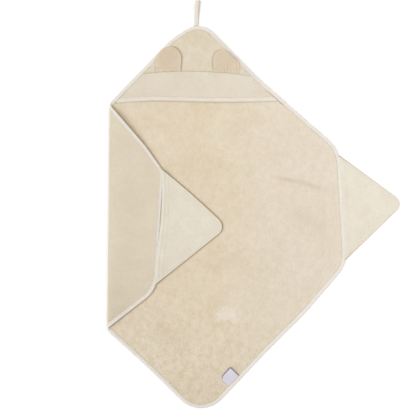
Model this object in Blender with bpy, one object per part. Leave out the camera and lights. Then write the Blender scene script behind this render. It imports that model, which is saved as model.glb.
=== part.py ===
"""A hooded baby bath cape lying flat, face up, with its left corner folded over onto the front.

The cape is a terry square with its left and right corners cut off and all its corners rounded.
A hood of a terry tip and a muslin band lies on its top corner, with two ears in the cross seam.
A binding is folded round every cut edge, and a muslin hand glove is sewn to each cut-off corner.

Every piece is first drawn flat, in millimetres: x to the right, y towards the hood, and w up
through the cloth from its smooth back (w = 0) to its face. lay() then folds the left corner over.
The parts are made in metres, z up, and stand on z = 0 with the middle of their box at x = y = 0.
"""

import math

import bmesh
import bpy
from mathutils import Vector

MM = 0.001

# ---------------------------------------------------------------- cloths, millimetres
GAP = 0.3            # between two pieces at a seam, or one lying on the other
TERRY = 3.0          # towelling with its loops standing
TERRY_RIM = 1.4      # the same where a binding presses it
MUSLIN = 1.0
EAR_CLOTH = 2.0      # an ear is two layers, turned
LABEL_CLOTH = 0.8    # a folded label
LOOP_TAPE = 1.1
BINDING_WALL = 0.8
BINDING_WIDTH = 10.0

# ---------------------------------------------------------------- the cape's outline
# A square of about 750 mm, a little turned, walked clockwise from the hood's tip.
BODY_CORNERS = (
    # name,          x,     y,  radius
    ("tip",         -138,  484,  58),
    ("seam_right",    15,  329,  60),      # here the edge turns out a little, not in
    ("right_upper",  227,  144,  95),
    ("right_lower",  245, -160,  85),
    ("swell",        134, -288, 200),
    ("dip",           28, -394, 200),      # and here
    ("bottom",      -135, -567,  74),
    ("hollow",      -267, -438, 200),      # and here
    ("left_lower",  -522, -204,  90),
    ("left_upper",  -513,  125,  90),
    ("tip_left",    -214,  434, 110),
)
ARC_STEPS = 8        # cells round each corner, even, so that one place is at its middle

# ---------------------------------------------------------------- the folded corner
FOLD_FOOT = (-386.0, -327.0)    # lower end of the fold's outermost line
FOLD_HEAD = (-376.5, 264.0)
FOLD_RADIUS = (5.0, 7.0)        # outside of the bend, at the foot and at the head
FLAP_RISE = (1.5, 9.0)          # how far the corner springs up beside the fold
FLAP_SETTLE = (60.0, 150.0)     # how far from the fold it comes to rest
FLAP_SLIP = (0.11, 0.07)        # slid this far down for each unit from the fold: foot and head
BEND_STEPS = 12
FLAP_SECTION = (
    # share of the settling length, share of the bend's height left, share of the rise
    (0.10, 0.93, 0.55),
    (0.25, 0.72, 1.00),
    (0.45, 0.42, 0.90),
    (0.70, 0.12, 0.40),
    (1.00, 0.00, 0.00),
)

# ---------------------------------------------------------------- the binding's section
TURN_WALL = BINDING_WALL + 0.1             # the binding's thickness where it turns the edge
RIM_INSET = TURN_WALL + GAP + 0.1          # the cloth's cut edge, inside the binding
STEP_INSET = BINDING_WIDTH + GAP + 0.05    # where the cloth starts to thicken, past the binding
FIELD_INSET = BINDING_WIDTH + 2.0 * GAP    # where it is at its full thickness again
EDGE_HEIGHT = 3.6                          # binding round the body alone
HOOD_EDGE_HEIGHT = 5.4                     # binding round the body and the hood
EDGE_ROUND = 0.9

# ---------------------------------------------------------------- the hood
HOOD_LEFT = 219.0               # along the left edge, from the tip's rounding to the hem's end
HOOD_RIGHT = 92.0               # along the right edge, from near the cross seam to the hem's end
SEAM_TOP = (-170.0, 348.3)      # the cross seam's highest place
SEAM_BOW = 4.5e-4               # it falls by this times the square of the way along
SEAM_SOFTEN = 3.0               # over which the terry thickens from the seam
HEM_LINE = (
    # x,     y of the hem's lower edge
    (-380.0, 261.5),
    (-340.0, 266.5),
    (-290.0, 269.5),
    (-200.0, 269.5),
    (-100.0, 267.0),
    (-20.0, 267.5),
    (90.0, 271.5),
)
HEM_WIDTH = 11.0
HEM_SLOT = BINDING_WALL + GAP   # height of the band's underside inside the hem binding
HEM_END_INSET = FIELD_INSET + 0.1
SIDE_TUCK = (24.0, 42.0)        # up from the hem, where the band's sides reach under the binding
HOOD_UNDER = TERRY + GAP
HOOD_RIM = 1.0                  # the tip's terry in the seam and in the binding
MOUTH_LIFT = 5.2                # the hood's mouth stands this far off the body
MOUTH_EASE = (22.0, 85.0)       # in from the cape's edge: not lifted yet, then fully
MOUTH_DEPTH = (50.0, 70.0)      # up from the hem: fully lifted, then down again
HOOD_CELLS = 22                 # across the hood
BAND_ROWS = (
    # above the band's lower edge, share of the rest of the way to the seam
    (0.0, 0.0),
    (10.6, 0.0),
    (16.0, 0.0),
    (22.8, 0.0),
    (22.8, 0.3),
    (22.8, 0.58),
    (22.8, 0.86),
    (22.8, 1.0),
)

# ---------------------------------------------------------------- ears
EARS = (
    # name,       x of the middle, width, height, lean of the top, turn in degrees
    ("ear_left",  -223.0,  67.0,  66.0,   7.0,  0.0),
    ("ear_right",  -71.0,  70.0,  61.0, -10.0, -2.0),
)
EAR_FOOT = 0.6                  # above the cross seam
EAR_INSET = 1.5                 # an ear's outer side stops this far in from the cape's edge
EAR_STRAIGHT = 0.42             # share of the height where the sides run straight
EAR_ROUND = 0.7                 # rounding of its rim, up and down
EAR_STEPS = 14

# ---------------------------------------------------------------- gloves
# Where each panel's side seams leave the binding, along the outline from a corner's middle,
# and the place where the sides would meet. Both gloves end in a rounded tip.
GLOVE_TIP_RADIUS = 24.0
RIGHT_GLOVE_TIP = (399.0, 4.0)
RIGHT_GLOVE_SIDES = (13.0, -11.0)
LEFT_GLOVE_TIP = (-700.0, -21.0)
LEFT_GLOVE_SIDES = (14.0, -9.0)
GLOVE_CELL = 28.0               # longest cell along a glove's base
GLOVE_ROWS = 9                  # and the cells from there to its tip
MOUTH_SET_BACK = 1.0            # a glove's free edge, off the binding
MOUTH_ARCH_END = 0.9            # share of the glove's length where the arch has died out
LEFT_MOUTH_ARCH = 17.0          # the left glove's free edge stands up
LEFT_MOUTH_PULL = 12.0          # and is drawn back from the binding
MOUTH_SHAPE = (
    # share of the way along the free edge from its lower end, share of the arch and the pull
    (0.00, 0.00),
    (0.15, 0.08),
    (0.30, 0.32),
    (0.43, 0.74),
    (0.55, 0.97),
    (0.68, 1.00),
    (0.80, 0.78),
    (0.91, 0.30),
    (1.00, 0.00),
)
RIGHT_PANELS = {"back": 0.0, "front": MUSLIN + GAP}      # height of each panel's underside
LEFT_PANELS = {"back": 1.0, "front": 1.0 + MUSLIN + GAP}

# ---------------------------------------------------------------- hanging loop
LOOP_X = -151.0                 # middle of the legs where they leave the binding
LOOP_REACH = 67.0
LOOP_WIDTH = 8.5
LOOP_SPREAD = (1.6, 4.0)        # half of the way between the legs, sideways: foot and head
LOOP_LEAN = 6.0                 # the loop's head is this far right of its foot
LOOP_EYE = 6.4                  # clear height inside the turn
LOOP_FOOT = 0.9                 # height of the lower leg at its foot
LOOP_SETTLE = 0.6               # share of the leg in which it comes down to the ground
LOOP_TURN_STEPS = 8
LOOP_LEG_STEPS = 6

# ---------------------------------------------------------------- label
LABEL_FROM_BOTTOM = 133.0       # along the lower right edge, from the square's corner
LABEL_WIDTH = 39.0
LABEL_REACH = 31.0
LABEL_LIFT = (0.36, 0.9)        # its free edge stands off the terry: lower end, upper end
LABEL_CELLS = 4

# name: colour, roughness
FINISHES = {
    "terry": ((0.78, 0.66, 0.50), 0.95),
    "muslin": ((0.80, 0.72, 0.58), 0.9),
    "binding": ((0.83, 0.75, 0.64), 0.85),
    "ear": ((0.71, 0.60, 0.42), 0.9),
    "tape": ((0.76, 0.66, 0.52), 0.85),
    "label": ((0.80, 0.78, 0.83), 0.6),
}


# ================================================================ small helpers

def blend(a, b, share):
    """The value a given share of the way from a to b."""
    return a + (b - a) * share


def smooth(share):
    """0 to 1 with level ends."""
    share = min(max(share, 0.0), 1.0)
    return share * share * (3.0 - 2.0 * share)


def read_line(rows, x):
    """Read a table of (x, y) rows at x, straight between its rows."""
    if x <= rows[0][0]:
        return rows[0][1]
    for (x0, y0), (x1, y1) in zip(rows, rows[1:]):
        if x <= x1:
            return blend(y0, y1, (x - x0) / (x1 - x0))
    return rows[-1][1]


# ================================================================ the outline

class Outline:
    """The cape's rounded outline, as places along it that know the way into the cloth."""

    def __init__(self, corners):
        self.places = []        # (distance, point, inward)
        self.marks = {}         # corner name: distance of its arc's middle
        self.tangents = {}      # corner name: the square corner's reach along each edge
        self.arcs = {}          # corner name: distances of the arc's start and end
        points = [Vector((x, y)) for _, x, y, _ in corners]
        distance = 0.0
        last = None
        for i, (name, _, _, radius) in enumerate(corners):
            way_in = (points[i] - points[i - 1]).normalized()
            way_out = (points[(i + 1) % len(points)] - points[i]).normalized()
            inward = Vector((way_in.y, -way_in.x))
            turn = way_in.angle(way_out)
            sense = 1.0 if way_in.cross(way_out) < 0.0 else -1.0
            tangent = radius * math.tan(turn / 2.0)
            start = points[i] - way_in * tangent
            centre = start + inward * (radius * sense)
            if last is not None:
                distance += (start - last).length
            self.arcs[name] = (distance, distance + radius * turn)
            self.marks[name] = distance + radius * turn / 2.0
            self.tangents[name] = tangent
            for step in range(ARC_STEPS + 1):
                angle = -sense * turn * step / ARC_STEPS
                normal = Vector((inward.x * math.cos(angle) - inward.y * math.sin(angle),
                                 inward.x * math.sin(angle) + inward.y * math.cos(angle)))
                point = centre - normal * (radius * sense)
                self.places.append((distance + radius * turn * step / ARC_STEPS, point, normal))
            distance += radius * turn
            last = self.places[-1][1]
        self.length = distance + (self.places[0][1] - last).length

    def after(self, name, reach):
        """The distance of a place on the edge that leaves a corner, a reach from the square corner."""
        return self.arcs[name][1] + reach - self.tangents[name]

    def before(self, name, reach):
        """The same on the edge that comes to the corner."""
        return self.arcs[name][0] - reach + self.tangents[name]

    def at(self, distance):
        """The point and the inward way at a distance along the outline."""
        distance %= self.length
        places = self.places + [(self.length, self.places[0][1], self.places[0][2])]
        for (d0, p0, n0), (d1, p1, n1) in zip(places, places[1:]):
            if distance <= d1:
                share = (distance - d0) / (d1 - d0)
                return p0.lerp(p1, share), n0.lerp(n1, share).normalized()
        return places[-1][1], places[-1][2]

    def stretch(self, start, stop):
        """The places from start to stop, walked clockwise."""
        start %= self.length
        stop %= self.length
        if stop <= start:
            stop += self.length
        found = [self.at(start)]
        for lap in (0.0, self.length):
            found += [(point, inward) for distance, point, inward in self.places
                      if start + 0.5 < distance + lap < stop - 0.5]
        found.append(self.at(stop))
        return found

    def whole(self):
        """Every place, once round."""
        return [(point, inward) for _, point, inward in self.places]


OUTLINE = Outline(BODY_CORNERS)


def ring(places, inset, height):
    """A row of flat points, inset from the outline, at a height in the cloth."""
    return [(point.x + inward.x * inset, point.y + inward.y * inset, height)
            for point, inward in places]


# ================================================================ the fold

FOLD_UP = (Vector(FOLD_HEAD) - Vector(FOLD_FOOT)).normalized()
FOLD_OUT = Vector((-FOLD_UP.y, FOLD_UP.x))
FOLD_LENGTH = (Vector(FOLD_HEAD) - Vector(FOLD_FOOT)).length
FLAP_REST = TERRY + GAP + EDGE_HEIGHT      # height of the turned corner's back, at rest


def fold_rows(up):
    """The fold's section at a way up the fold, as rows that are straight from foot to head.

    A row holds the flat distance past the fold line, the place sideways and in height of the
    cloth's back there, the way through the cloth, and the way from the bend.
    """
    share = up / FOLD_LENGTH
    radius = blend(*FOLD_RADIUS, share)
    rise = blend(*FLAP_RISE, share)
    settle = blend(*FLAP_SETTLE, share)
    rows = []
    for step in range(BEND_STEPS + 1):
        angle = math.pi * step / BEND_STEPS
        rows.append(((angle - 1.0) * radius, radius * (math.sin(angle) - 1.0),
                     radius * (1.0 - math.cos(angle)), -math.sin(angle), math.cos(angle), 0.0))
    bend_height = 2.0 * radius - FLAP_REST
    spring = [(0.0, 1.0, 0.0)] + list(FLAP_SECTION)
    levels = [FLAP_REST + bend_height * left + rise * up_share for _, left, up_share in spring]
    for i in range(1, len(spring)):
        way = settle * spring[i][0]
        after = min(i + 1, len(spring) - 1)
        slope = (levels[after] - levels[i - 1]) / (settle * (spring[after][0] - spring[i - 1][0]))
        size = math.hypot(slope, 1.0)
        rows.append(((math.pi - 1.0) * radius + way, -radius - way, levels[i],
                     -slope / size, -1.0 / size, way))
    end = rows[-1]
    rows[-1] = end[:3] + (0.0, -1.0) + end[5:]
    return rows


def lay(x, y, w):
    """Where a flat point goes when the cape lies with its left corner folded over."""
    flat = Vector((x, y)) - Vector(FOLD_FOOT)
    out = flat.dot(FOLD_OUT)
    up = flat.dot(FOLD_UP)
    rows = fold_rows(up)
    if out <= rows[0][0]:
        return Vector((x, y, w))
    if out >= rows[-1][0]:
        past = out - rows[-1][0]
        _, side, level, through_side, through_up, way = rows[-1]
        side -= past
        way += past
    else:
        below = max(i for i, row in enumerate(rows) if row[0] <= out)
        share = (out - rows[below][0]) / (rows[below + 1][0] - rows[below][0])
        mixed = [blend(a, b, share) for a, b in zip(rows[below], rows[below + 1])]
        _, side, level, through_side, through_up, way = mixed
    place = Vector(FOLD_FOOT) + FOLD_OUT * (side + through_side * w)
    place += FOLD_UP * (up - blend(*FLAP_SLIP, up / FOLD_LENGTH) * way)
    return Vector((place.x, place.y, level + through_up * w))


def cut_at_fold(bm):
    """Cut flat cloth along the fold's straight rows, so that it can bend there."""
    foot_rows = fold_rows(0.0)
    head_rows = fold_rows(FOLD_LENGTH)
    for low, high in zip(foot_rows, head_rows):
        start = Vector(FOLD_FOOT) + FOLD_OUT * low[0]
        end = Vector(FOLD_HEAD) + FOLD_OUT * high[0]
        along = (end - start).normalized()
        bmesh.ops.bisect_plane(bm, geom=bm.verts[:] + bm.edges[:] + bm.faces[:], dist=0.001,
                               plane_co=(start.x, start.y, 0.0), plane_no=(-along.y, along.x, 0.0))


# ================================================================ making solids

def new_part(name, finish, bm, collection):
    """Finish a flat or laid mesh in millimetres as a named part in metres."""
    bmesh.ops.triangulate(bm, faces=bm.faces[:], ngon_method="EAR_CLIP")
    for vert in bm.verts:
        vert.co = lay(*vert.co)
    return keep(name, finish, bm, collection)


def keep(name, finish, bm, collection):
    """Write a mesh in millimetres into a named part in metres, with its own material."""
    bmesh.ops.recalc_face_normals(bm, faces=bm.faces[:])
    if bm.calc_volume(signed=True) < 0.0:
        bmesh.ops.reverse_faces(bm, faces=bm.faces[:])
    bmesh.ops.scale(bm, vec=(MM, MM, MM), verts=bm.verts[:])
    mesh = bpy.data.meshes.new(name)
    bm.to_mesh(mesh)
    bm.free()
    colour, roughness = FINISHES[finish]
    material = bpy.data.materials.new(name + "_" + finish)
    material.use_nodes = True
    shader = material.node_tree.nodes["Principled BSDF"]
    shader.inputs["Base Color"].default_value = (*colour, 1.0)
    shader.inputs["Roughness"].default_value = roughness
    shader.inputs["Metallic"].default_value = 0.0
    mesh.materials.append(material)
    part = bpy.data.objects.new(name, mesh)
    collection.objects.link(part)
    return part


def loft(loops):
    """A closed solid through closed loops of equal counts, the first and last one filled."""
    bm = bmesh.new()
    rows = [[bm.verts.new(point) for point in loop] for loop in loops]
    count = len(rows[0])
    for low, high in zip(rows, rows[1:]):
        for i in range(count):
            j = (i + 1) % count
            bm.faces.new((low[i], low[j], high[j], high[i]))
    bm.faces.new(rows[0])
    bm.faces.new(rows[-1])
    return bm


def slab(across, along, place):
    """A closed panel of cells; place(a, b, side) puts the corner at shares a and b, side 0 or 1."""
    bm = bmesh.new()
    bmesh.ops.create_grid(bm, x_segments=across, y_segments=along, size=0.5)
    raised = bmesh.ops.extrude_face_region(bm, geom=bm.faces[:], use_keep_orig=True)
    upper = {item for item in raised["geom"] if isinstance(item, bmesh.types.BMVert)}
    for vert in bm.verts:
        side = 1 if vert in upper else 0
        vert.co = place(vert.co.x + 0.5, vert.co.y + 0.5, side)
    return bm


# ================================================================ the body and its binding

def make_body(collection):
    """The terry square: full thickness inside, pressed thin where the binding holds its rim."""
    places = OUTLINE.whole()
    rim_low = BINDING_WALL + GAP
    rim_high = rim_low + TERRY_RIM
    bm = loft([
        ring(places, FIELD_INSET, 0.0),
        ring(places, STEP_INSET, rim_low),
        ring(places, RIM_INSET, rim_low),
        ring(places, RIM_INSET, rim_high),
        ring(places, STEP_INSET, rim_high),
        ring(places, FIELD_INSET, TERRY),
    ])
    cut_at_fold(bm)
    return new_part("body", "terry", bm, collection)


def binding_section(height, width):
    """A binding's section: (inset, height) pairs round its two walls and its folded edge."""
    wall = BINDING_WALL
    return (
        (width, 0.0), (EDGE_ROUND, 0.0), (0.0, EDGE_ROUND), (0.0, height - EDGE_ROUND),
        (EDGE_ROUND, height), (width, height), (width, height - wall), (TURN_WALL, height - wall),
        (TURN_WALL, wall), (width, wall),
    )


def make_edge_binding(name, start, stop, height, collection):
    """One stretch of the binding round the cape's edge."""
    places = OUTLINE.stretch(start + GAP / 2.0, stop - GAP / 2.0)
    section = binding_section(height, BINDING_WIDTH)
    loops = [[(point.x + inward.x * inset, point.y + inward.y * inset, level)
              for inset, level in section] for point, inward in places]
    bm = loft(loops)
    cut_at_fold(bm)
    return new_part(name, "binding", bm, collection)


def make_edge_bindings(collection):
    """The whole binding, one stretch after another round the cape."""
    hood_left = OUTLINE.before("tip_left", HOOD_LEFT)
    hood_right = OUTLINE.after("seam_right", HOOD_RIGHT)
    marks = OUTLINE.marks
    stretches = (
        ("binding_hood", hood_left, hood_right, HOOD_EDGE_HEIGHT),
        ("binding_upper_right", hood_right, marks["right_upper"], EDGE_HEIGHT),
        ("binding_right_end", marks["right_upper"], marks["right_lower"], EDGE_HEIGHT),
        ("binding_lower_right", marks["right_lower"], marks["bottom"], EDGE_HEIGHT),
        ("binding_lower_left", marks["bottom"], marks["left_lower"], EDGE_HEIGHT),
        ("binding_left_end", marks["left_lower"], marks["left_upper"], EDGE_HEIGHT),
        ("binding_upper_left", marks["left_upper"], hood_left, EDGE_HEIGHT),
    )
    for name, start, stop, height in stretches:
        make_edge_binding(name, start, stop, height, collection)


# ================================================================ the hood

def seam_y(x):
    """The hood's cross seam."""
    return SEAM_TOP[1] - SEAM_BOW * (x - SEAM_TOP[0]) ** 2


def hem_y(x):
    """The lower edge of the hood's hem binding."""
    return read_line(HEM_LINE, x)


HOOD_SIDES = {
    # the outline beside the hood, longer than the hood is
    "left": OUTLINE.stretch(OUTLINE.before("tip_left", HOOD_LEFT + 40.0), OUTLINE.marks["tip"]),
    "right": OUTLINE.stretch(OUTLINE.marks["tip"], OUTLINE.after("seam_right", HOOD_RIGHT + 40.0)),
}
HOOD_EDGES = (
    # a place on each straight edge beside the hood
    OUTLINE.at(OUTLINE.before("tip_left", HOOD_LEFT / 2.0)),
    OUTLINE.at(OUTLINE.before("seam_right", HOOD_RIGHT / 2.0)),
    OUTLINE.at(OUTLINE.after("seam_right", HOOD_RIGHT / 2.0)),
)


def meet_edge(side, inset, line):
    """The x where a line across the hood, y = line(x), meets the outline's inset on one side."""
    points = [point + inward * inset for point, inward in HOOD_SIDES[side]]
    for a, b in zip(points, points[1:]):
        if (a.y - line(a.x)) * (b.y - line(b.x)) <= 0.0:
            break
    low, high = (a, b) if a.y < b.y else (b, a)
    for _ in range(40):
        middle = low.lerp(high, 0.5)
        if middle.y < line(middle.x):
            low = middle
        else:
            high = middle
    return middle.x


def mouth_lift(x, y):
    """How far the hood's band stands off the body, most at the middle of its hem."""
    up = y - hem_y(x)
    flat_hem = HEM_WIDTH + 1.0
    above_hem = max(up - flat_hem, 0.0) / (MOUTH_DEPTH[0] - flat_hem)
    eased = Vector((x, hem_y(x) + max(up, MOUTH_DEPTH[0]) * min(above_hem, 1.0)))
    inset = min((eased - point).dot(inward) for point, inward in HOOD_EDGES)
    across = smooth((inset - MOUTH_EASE[0]) / (MOUTH_EASE[1] - MOUTH_EASE[0]))
    along = 1.0 - smooth((up - MOUTH_DEPTH[0]) / (MOUTH_DEPTH[1] - MOUTH_DEPTH[0]))
    return MOUTH_LIFT * across * along


def make_hood_tip(collection):
    """The terry tip: its rim lies in the edge binding, and it is pressed thin at the seam."""
    outer = OUTLINE.stretch(OUTLINE.arcs["tip_left"][0], OUTLINE.arcs["tip"][1])

    def tip_loop(inset, above_seam, level):
        def line(x):
            return seam_y(x) + above_seam
        loop = ring(outer, inset, level)
        right = meet_edge("right", inset, line)
        left = meet_edge("left", inset, line)
        for step in range(HOOD_CELLS + 1):
            x = blend(right, left, step / HOOD_CELLS)
            loop.append((x, line(x), level))
        return loop

    at_seam = GAP / 2.0
    rim_high = HOOD_UNDER + HOOD_RIM
    bm = loft([
        tip_loop(FIELD_INSET, SEAM_SOFTEN, HOOD_UNDER),
        tip_loop(STEP_INSET, at_seam + 0.5, HOOD_UNDER),
        tip_loop(RIM_INSET, at_seam, HOOD_UNDER),
        tip_loop(RIM_INSET, at_seam, rim_high),
        tip_loop(STEP_INSET, at_seam + 0.5, rim_high),
        tip_loop(FIELD_INSET, SEAM_SOFTEN, HOOD_UNDER + TERRY),
    ])
    return new_part("hood_tip", "terry", bm, collection)


def make_hood_band(collection):
    """The muslin band, from the cross seam into the hem binding, lifted at the hood's mouth."""
    hem_tuck = TURN_WALL + GAP

    def place(a, b, side):
        above, share = BAND_ROWS[round(b * (len(BAND_ROWS) - 1))]

        def line(x):
            return blend(hem_y(x) + hem_tuck + above, seam_y(x) - GAP / 2.0, share)

        def end(edge):
            x = meet_edge(edge, HEM_END_INSET, line)
            under = smooth((line(x) - hem_y(x) - SIDE_TUCK[0]) / (SIDE_TUCK[1] - SIDE_TUCK[0]))
            return meet_edge(edge, blend(HEM_END_INSET, RIM_INSET, under), line)

        x = blend(end("left"), end("right"), a)
        y = line(x)
        up = y - hem_y(x)
        into_hem = 1.0 - smooth((up - HEM_WIDTH) / (SIDE_TUCK[0] - HEM_WIDTH))
        level = HOOD_UNDER + HEM_SLOT * into_hem + mouth_lift(x, y)
        return Vector((x, y, level + MUSLIN * side))

    bm = slab(HOOD_CELLS, len(BAND_ROWS) - 1, place)
    return new_part("hood_band", "muslin", bm, collection)


def make_hem_binding(collection):
    """The strip folded over the band's lower edge."""
    height = 2.0 * HEM_SLOT + MUSLIN
    section = binding_section(height, HEM_WIDTH)
    loops = []
    for step in range(HOOD_CELLS + 1):
        loop = []
        for inset, level in section:
            def line(x, inset=inset):
                return hem_y(x) + inset
            left = meet_edge("left", HEM_END_INSET, line)
            right = meet_edge("right", HEM_END_INSET, line)
            x = blend(left, right, step / HOOD_CELLS)
            loop.append((x, line(x), HOOD_UNDER + level + mouth_lift(x, hem_y(x))))
        loops.append(loop)
    return new_part("hood_hem_binding", "binding", loft(loops), collection)


def make_ear(name, middle, width, height, lean, turn, collection):
    """An arch of two layers, from the cross seam up over the hood's tip."""
    half = width / 2.0
    straight = height * EAR_STRAIGHT
    outline = [(-half, 0.0)]
    for step in range(EAR_STEPS + 1):
        angle = math.pi * step / EAR_STEPS
        outline.append((-half * math.cos(angle), straight + (height - straight) * math.sin(angle)))
    outline.append((half, 0.0))
    foot = Vector((middle, seam_y(middle) + EAR_FOOT))
    tilt = math.radians(turn)
    low = HOOD_UNDER + TERRY + GAP

    def ear_loop(shrink, level):
        loop = []
        for x, y in outline:
            x = x * (1.0 - shrink / half) + lean * (y / height) ** 2
            y = blend(y, height * EAR_STRAIGHT, shrink / half)
            place = foot + Vector((x * math.cos(tilt) - y * math.sin(tilt),
                                   x * math.sin(tilt) + y * math.cos(tilt)))
            for point, inward in HOOD_EDGES:
                place += inward * max(EAR_INSET + shrink - (place - point).dot(inward), 0.0)
            loop.append((place.x, place.y, level))
        return loop

    bm = loft([ear_loop(EAR_ROUND, low), ear_loop(0.0, low + EAR_ROUND),
               ear_loop(0.0, low + EAR_CLOTH - EAR_ROUND), ear_loop(EAR_ROUND, low + EAR_CLOTH)])
    return new_part(name, "ear", bm, collection)


# ================================================================ gloves

def glove_base(corners, sides, off):
    """The places of a cut-off end between a glove's side seams, off the binding's outer face."""
    start = OUTLINE.marks[corners[0]] + sides[0]
    stop = OUTLINE.marks[corners[1]] + sides[1]
    return [point - inward * off for point, inward in OUTLINE.stretch(start, stop)]


def divide(path, longest):
    """A row of points with no step longer than the given length, each with its share of the way."""
    points = [path[0]]
    for a, b in zip(path, path[1:]):
        cells = math.ceil((b - a).length / longest)
        points += [a.lerp(b, (i + 1) / cells) for i in range(cells)]
    ways = [0.0]
    for a, b in zip(points, points[1:]):
        ways.append(ways[-1] + (b - a).length)
    return [(point, way / ways[-1]) for point, way in zip(points, ways)]


def glove_tip_point(first, last, tip, share):
    """A point on the rounded tip between the sides from first and last, share 0 to 1."""
    tip = Vector(tip)
    side_a = (first - tip).normalized()
    side_b = (last - tip).normalized()
    half = side_a.angle(side_b) / 2.0
    centre = tip + (side_a + side_b).normalized() * (GLOVE_TIP_RADIUS / math.sin(half))
    start = tip + side_a * (GLOVE_TIP_RADIUS / math.tan(half)) - centre
    turn = math.pi - 2.0 * half
    sense = 1.0 if side_a.cross(side_b) > 0.0 else -1.0
    angle = -sense * turn * share
    return centre + Vector((start.x * math.cos(angle) - start.y * math.sin(angle),
                            start.x * math.sin(angle) + start.y * math.cos(angle)))


def make_glove_panel(name, corners, sides, tip, under, off, arch, pull, collection):
    """A glove's panel from the cut-off end to the rounded tip, arched and drawn back at its edge."""
    base = divide(glove_base(corners, sides, off), GLOVE_CELL)
    cells = len(base) - 1

    def place(a, b, side):
        root, share = base[round(a * cells)]
        end = glove_tip_point(base[0][0], base[-1][0], tip, share)
        shape = read_line(MOUTH_SHAPE, share)
        root = root + (end - root).normalized() * pull * shape
        point = root.lerp(end, b)
        hump = arch * shape * (1.0 - smooth(b / MOUTH_ARCH_END))
        return Vector((point.x, point.y, under + MUSLIN * side - hump))

    bm = slab(cells, GLOVE_ROWS, place)
    return new_part(name, "muslin", bm, collection)


def make_gloves(collection):
    """Both gloves: the front panel is sewn to the binding, the back one's edge is free."""
    pairs = (
        ("glove_right", ("right_upper", "right_lower"), RIGHT_GLOVE_SIDES, RIGHT_GLOVE_TIP,
         RIGHT_PANELS, 0.0, 0.0),
        ("glove_left", ("left_lower", "left_upper"), LEFT_GLOVE_SIDES, LEFT_GLOVE_TIP,
         LEFT_PANELS, LEFT_MOUTH_ARCH, LEFT_MOUTH_PULL),
    )
    for name, corners, sides, tip, panels, arch, pull in pairs:
        make_glove_panel(name + "_front", corners, sides, tip, panels["front"], GAP, 0.0, 0.0,
                         collection)
        make_glove_panel(name + "_back", corners, sides, tip, panels["back"], MOUTH_SET_BACK,
                         arch, pull, collection)


# ================================================================ loop and label

def loop_middle():
    """The loop tape's middle line: up the lower leg, over the turn, and down the upper leg.

    Each row holds the place and the way through the tape.
    """
    foot_y = max(point.y for point, _ in OUTLINE.whole()) + GAP
    turn_radius = (LOOP_EYE + LOOP_TAPE) / 2.0
    straight = LOOP_REACH - turn_radius - LOOP_TAPE / 2.0
    low_foot = LOOP_FOOT + LOOP_TAPE / 2.0
    rows = []

    def aside(way, leg):
        share = way / LOOP_REACH
        return LOOP_X + LOOP_LEAN * share - leg * blend(*LOOP_SPREAD, smooth(share))

    for step in range(LOOP_LEG_STEPS):
        share = step / LOOP_LEG_STEPS
        way = straight * share
        level = blend(low_foot, LOOP_TAPE / 2.0, smooth(share / LOOP_SETTLE))
        rows.append((Vector((aside(way, -1.0), foot_y + way, level)), Vector((0.0, 0.0, 1.0))))
    for step in range(LOOP_TURN_STEPS + 1):
        angle = math.pi * step / LOOP_TURN_STEPS
        way = straight + turn_radius * math.sin(angle)
        level = LOOP_TAPE / 2.0 + turn_radius * (1.0 - math.cos(angle))
        through = Vector((0.0, -math.sin(angle), math.cos(angle)))
        rows.append((Vector((aside(way, -math.cos(angle)), foot_y + way, level)), through))
    high_foot = low_foot + LOOP_TAPE + GAP
    for step in range(LOOP_LEG_STEPS):
        share = (step + 1.0) / LOOP_LEG_STEPS
        way = straight * (1.0 - share)
        level = blend(LOOP_TAPE * 1.5 + LOOP_EYE, high_foot, smooth(share))
        rows.append((Vector((aside(way, 1.0), foot_y + way, level)), Vector((0.0, 0.0, -1.0))))
    return rows


def make_hanging_loop(collection):
    """A tape folded into a narrow loop, both of its ends at the hood's tip."""
    half = LOOP_WIDTH / 2.0
    thick = LOOP_TAPE / 2.0
    loops = []
    for middle, through in loop_middle():
        across = Vector((half, 0.0, 0.0))
        loops.append([middle - across - through * thick, middle + across - through * thick,
                      middle + across + through * thick, middle - across + through * thick])
    bm = loft(loops)
    bmesh.ops.triangulate(bm, faces=bm.faces[:])
    return keep("hanging_loop", "tape", bm, collection)


def make_label(collection):
    """A folded label on the face of the terry, its root at the lower right binding."""
    middle = OUTLINE.before("bottom", LABEL_FROM_BOTTOM)
    point, inward = OUTLINE.at(middle)
    along = Vector((inward.y, -inward.x))
    root = BINDING_WIDTH + GAP
    low = TERRY + GAP

    def place(a, b, side):
        spot = point + along * (LABEL_WIDTH * (a - 0.5)) + inward * (root + LABEL_REACH * b)
        lift = blend(*LABEL_LIFT, a) * smooth(b)
        return Vector((spot.x, spot.y, low + lift + LABEL_CLOTH * side))

    return new_part("label", "label", slab(LABEL_CELLS, LABEL_CELLS, place), collection)


# ================================================================ the whole cape

def centre_parts(collection):
    """Move every part alike, so that the cape's box stands on z = 0 round x = y = 0."""
    corners = [vert.co for part in collection.objects for vert in part.data.vertices]
    low = [min(corner[axis] for corner in corners) for axis in range(3)]
    high = [max(corner[axis] for corner in corners) for axis in range(3)]
    shift = Vector((-(low[0] + high[0]) / 2.0, -(low[1] + high[1]) / 2.0, -low[2]))
    for part in collection.objects:
        for vert in part.data.vertices:
            vert.co += shift


def main():
    for old in list(bpy.data.objects):
        bpy.data.objects.remove(old, do_unlink=True)
    collection = bpy.data.collections.new("bath_cape")
    bpy.context.scene.collection.children.link(collection)
    make_body(collection)
    make_edge_bindings(collection)
    make_hood_tip(collection)
    make_hood_band(collection)
    make_hem_binding(collection)
    for name, middle, width, height, lean, turn in EARS:
        make_ear(name, middle, width, height, lean, turn, collection)
    make_gloves(collection)
    make_hanging_loop(collection)
    make_label(collection)
    centre_parts(collection)


main()
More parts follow.
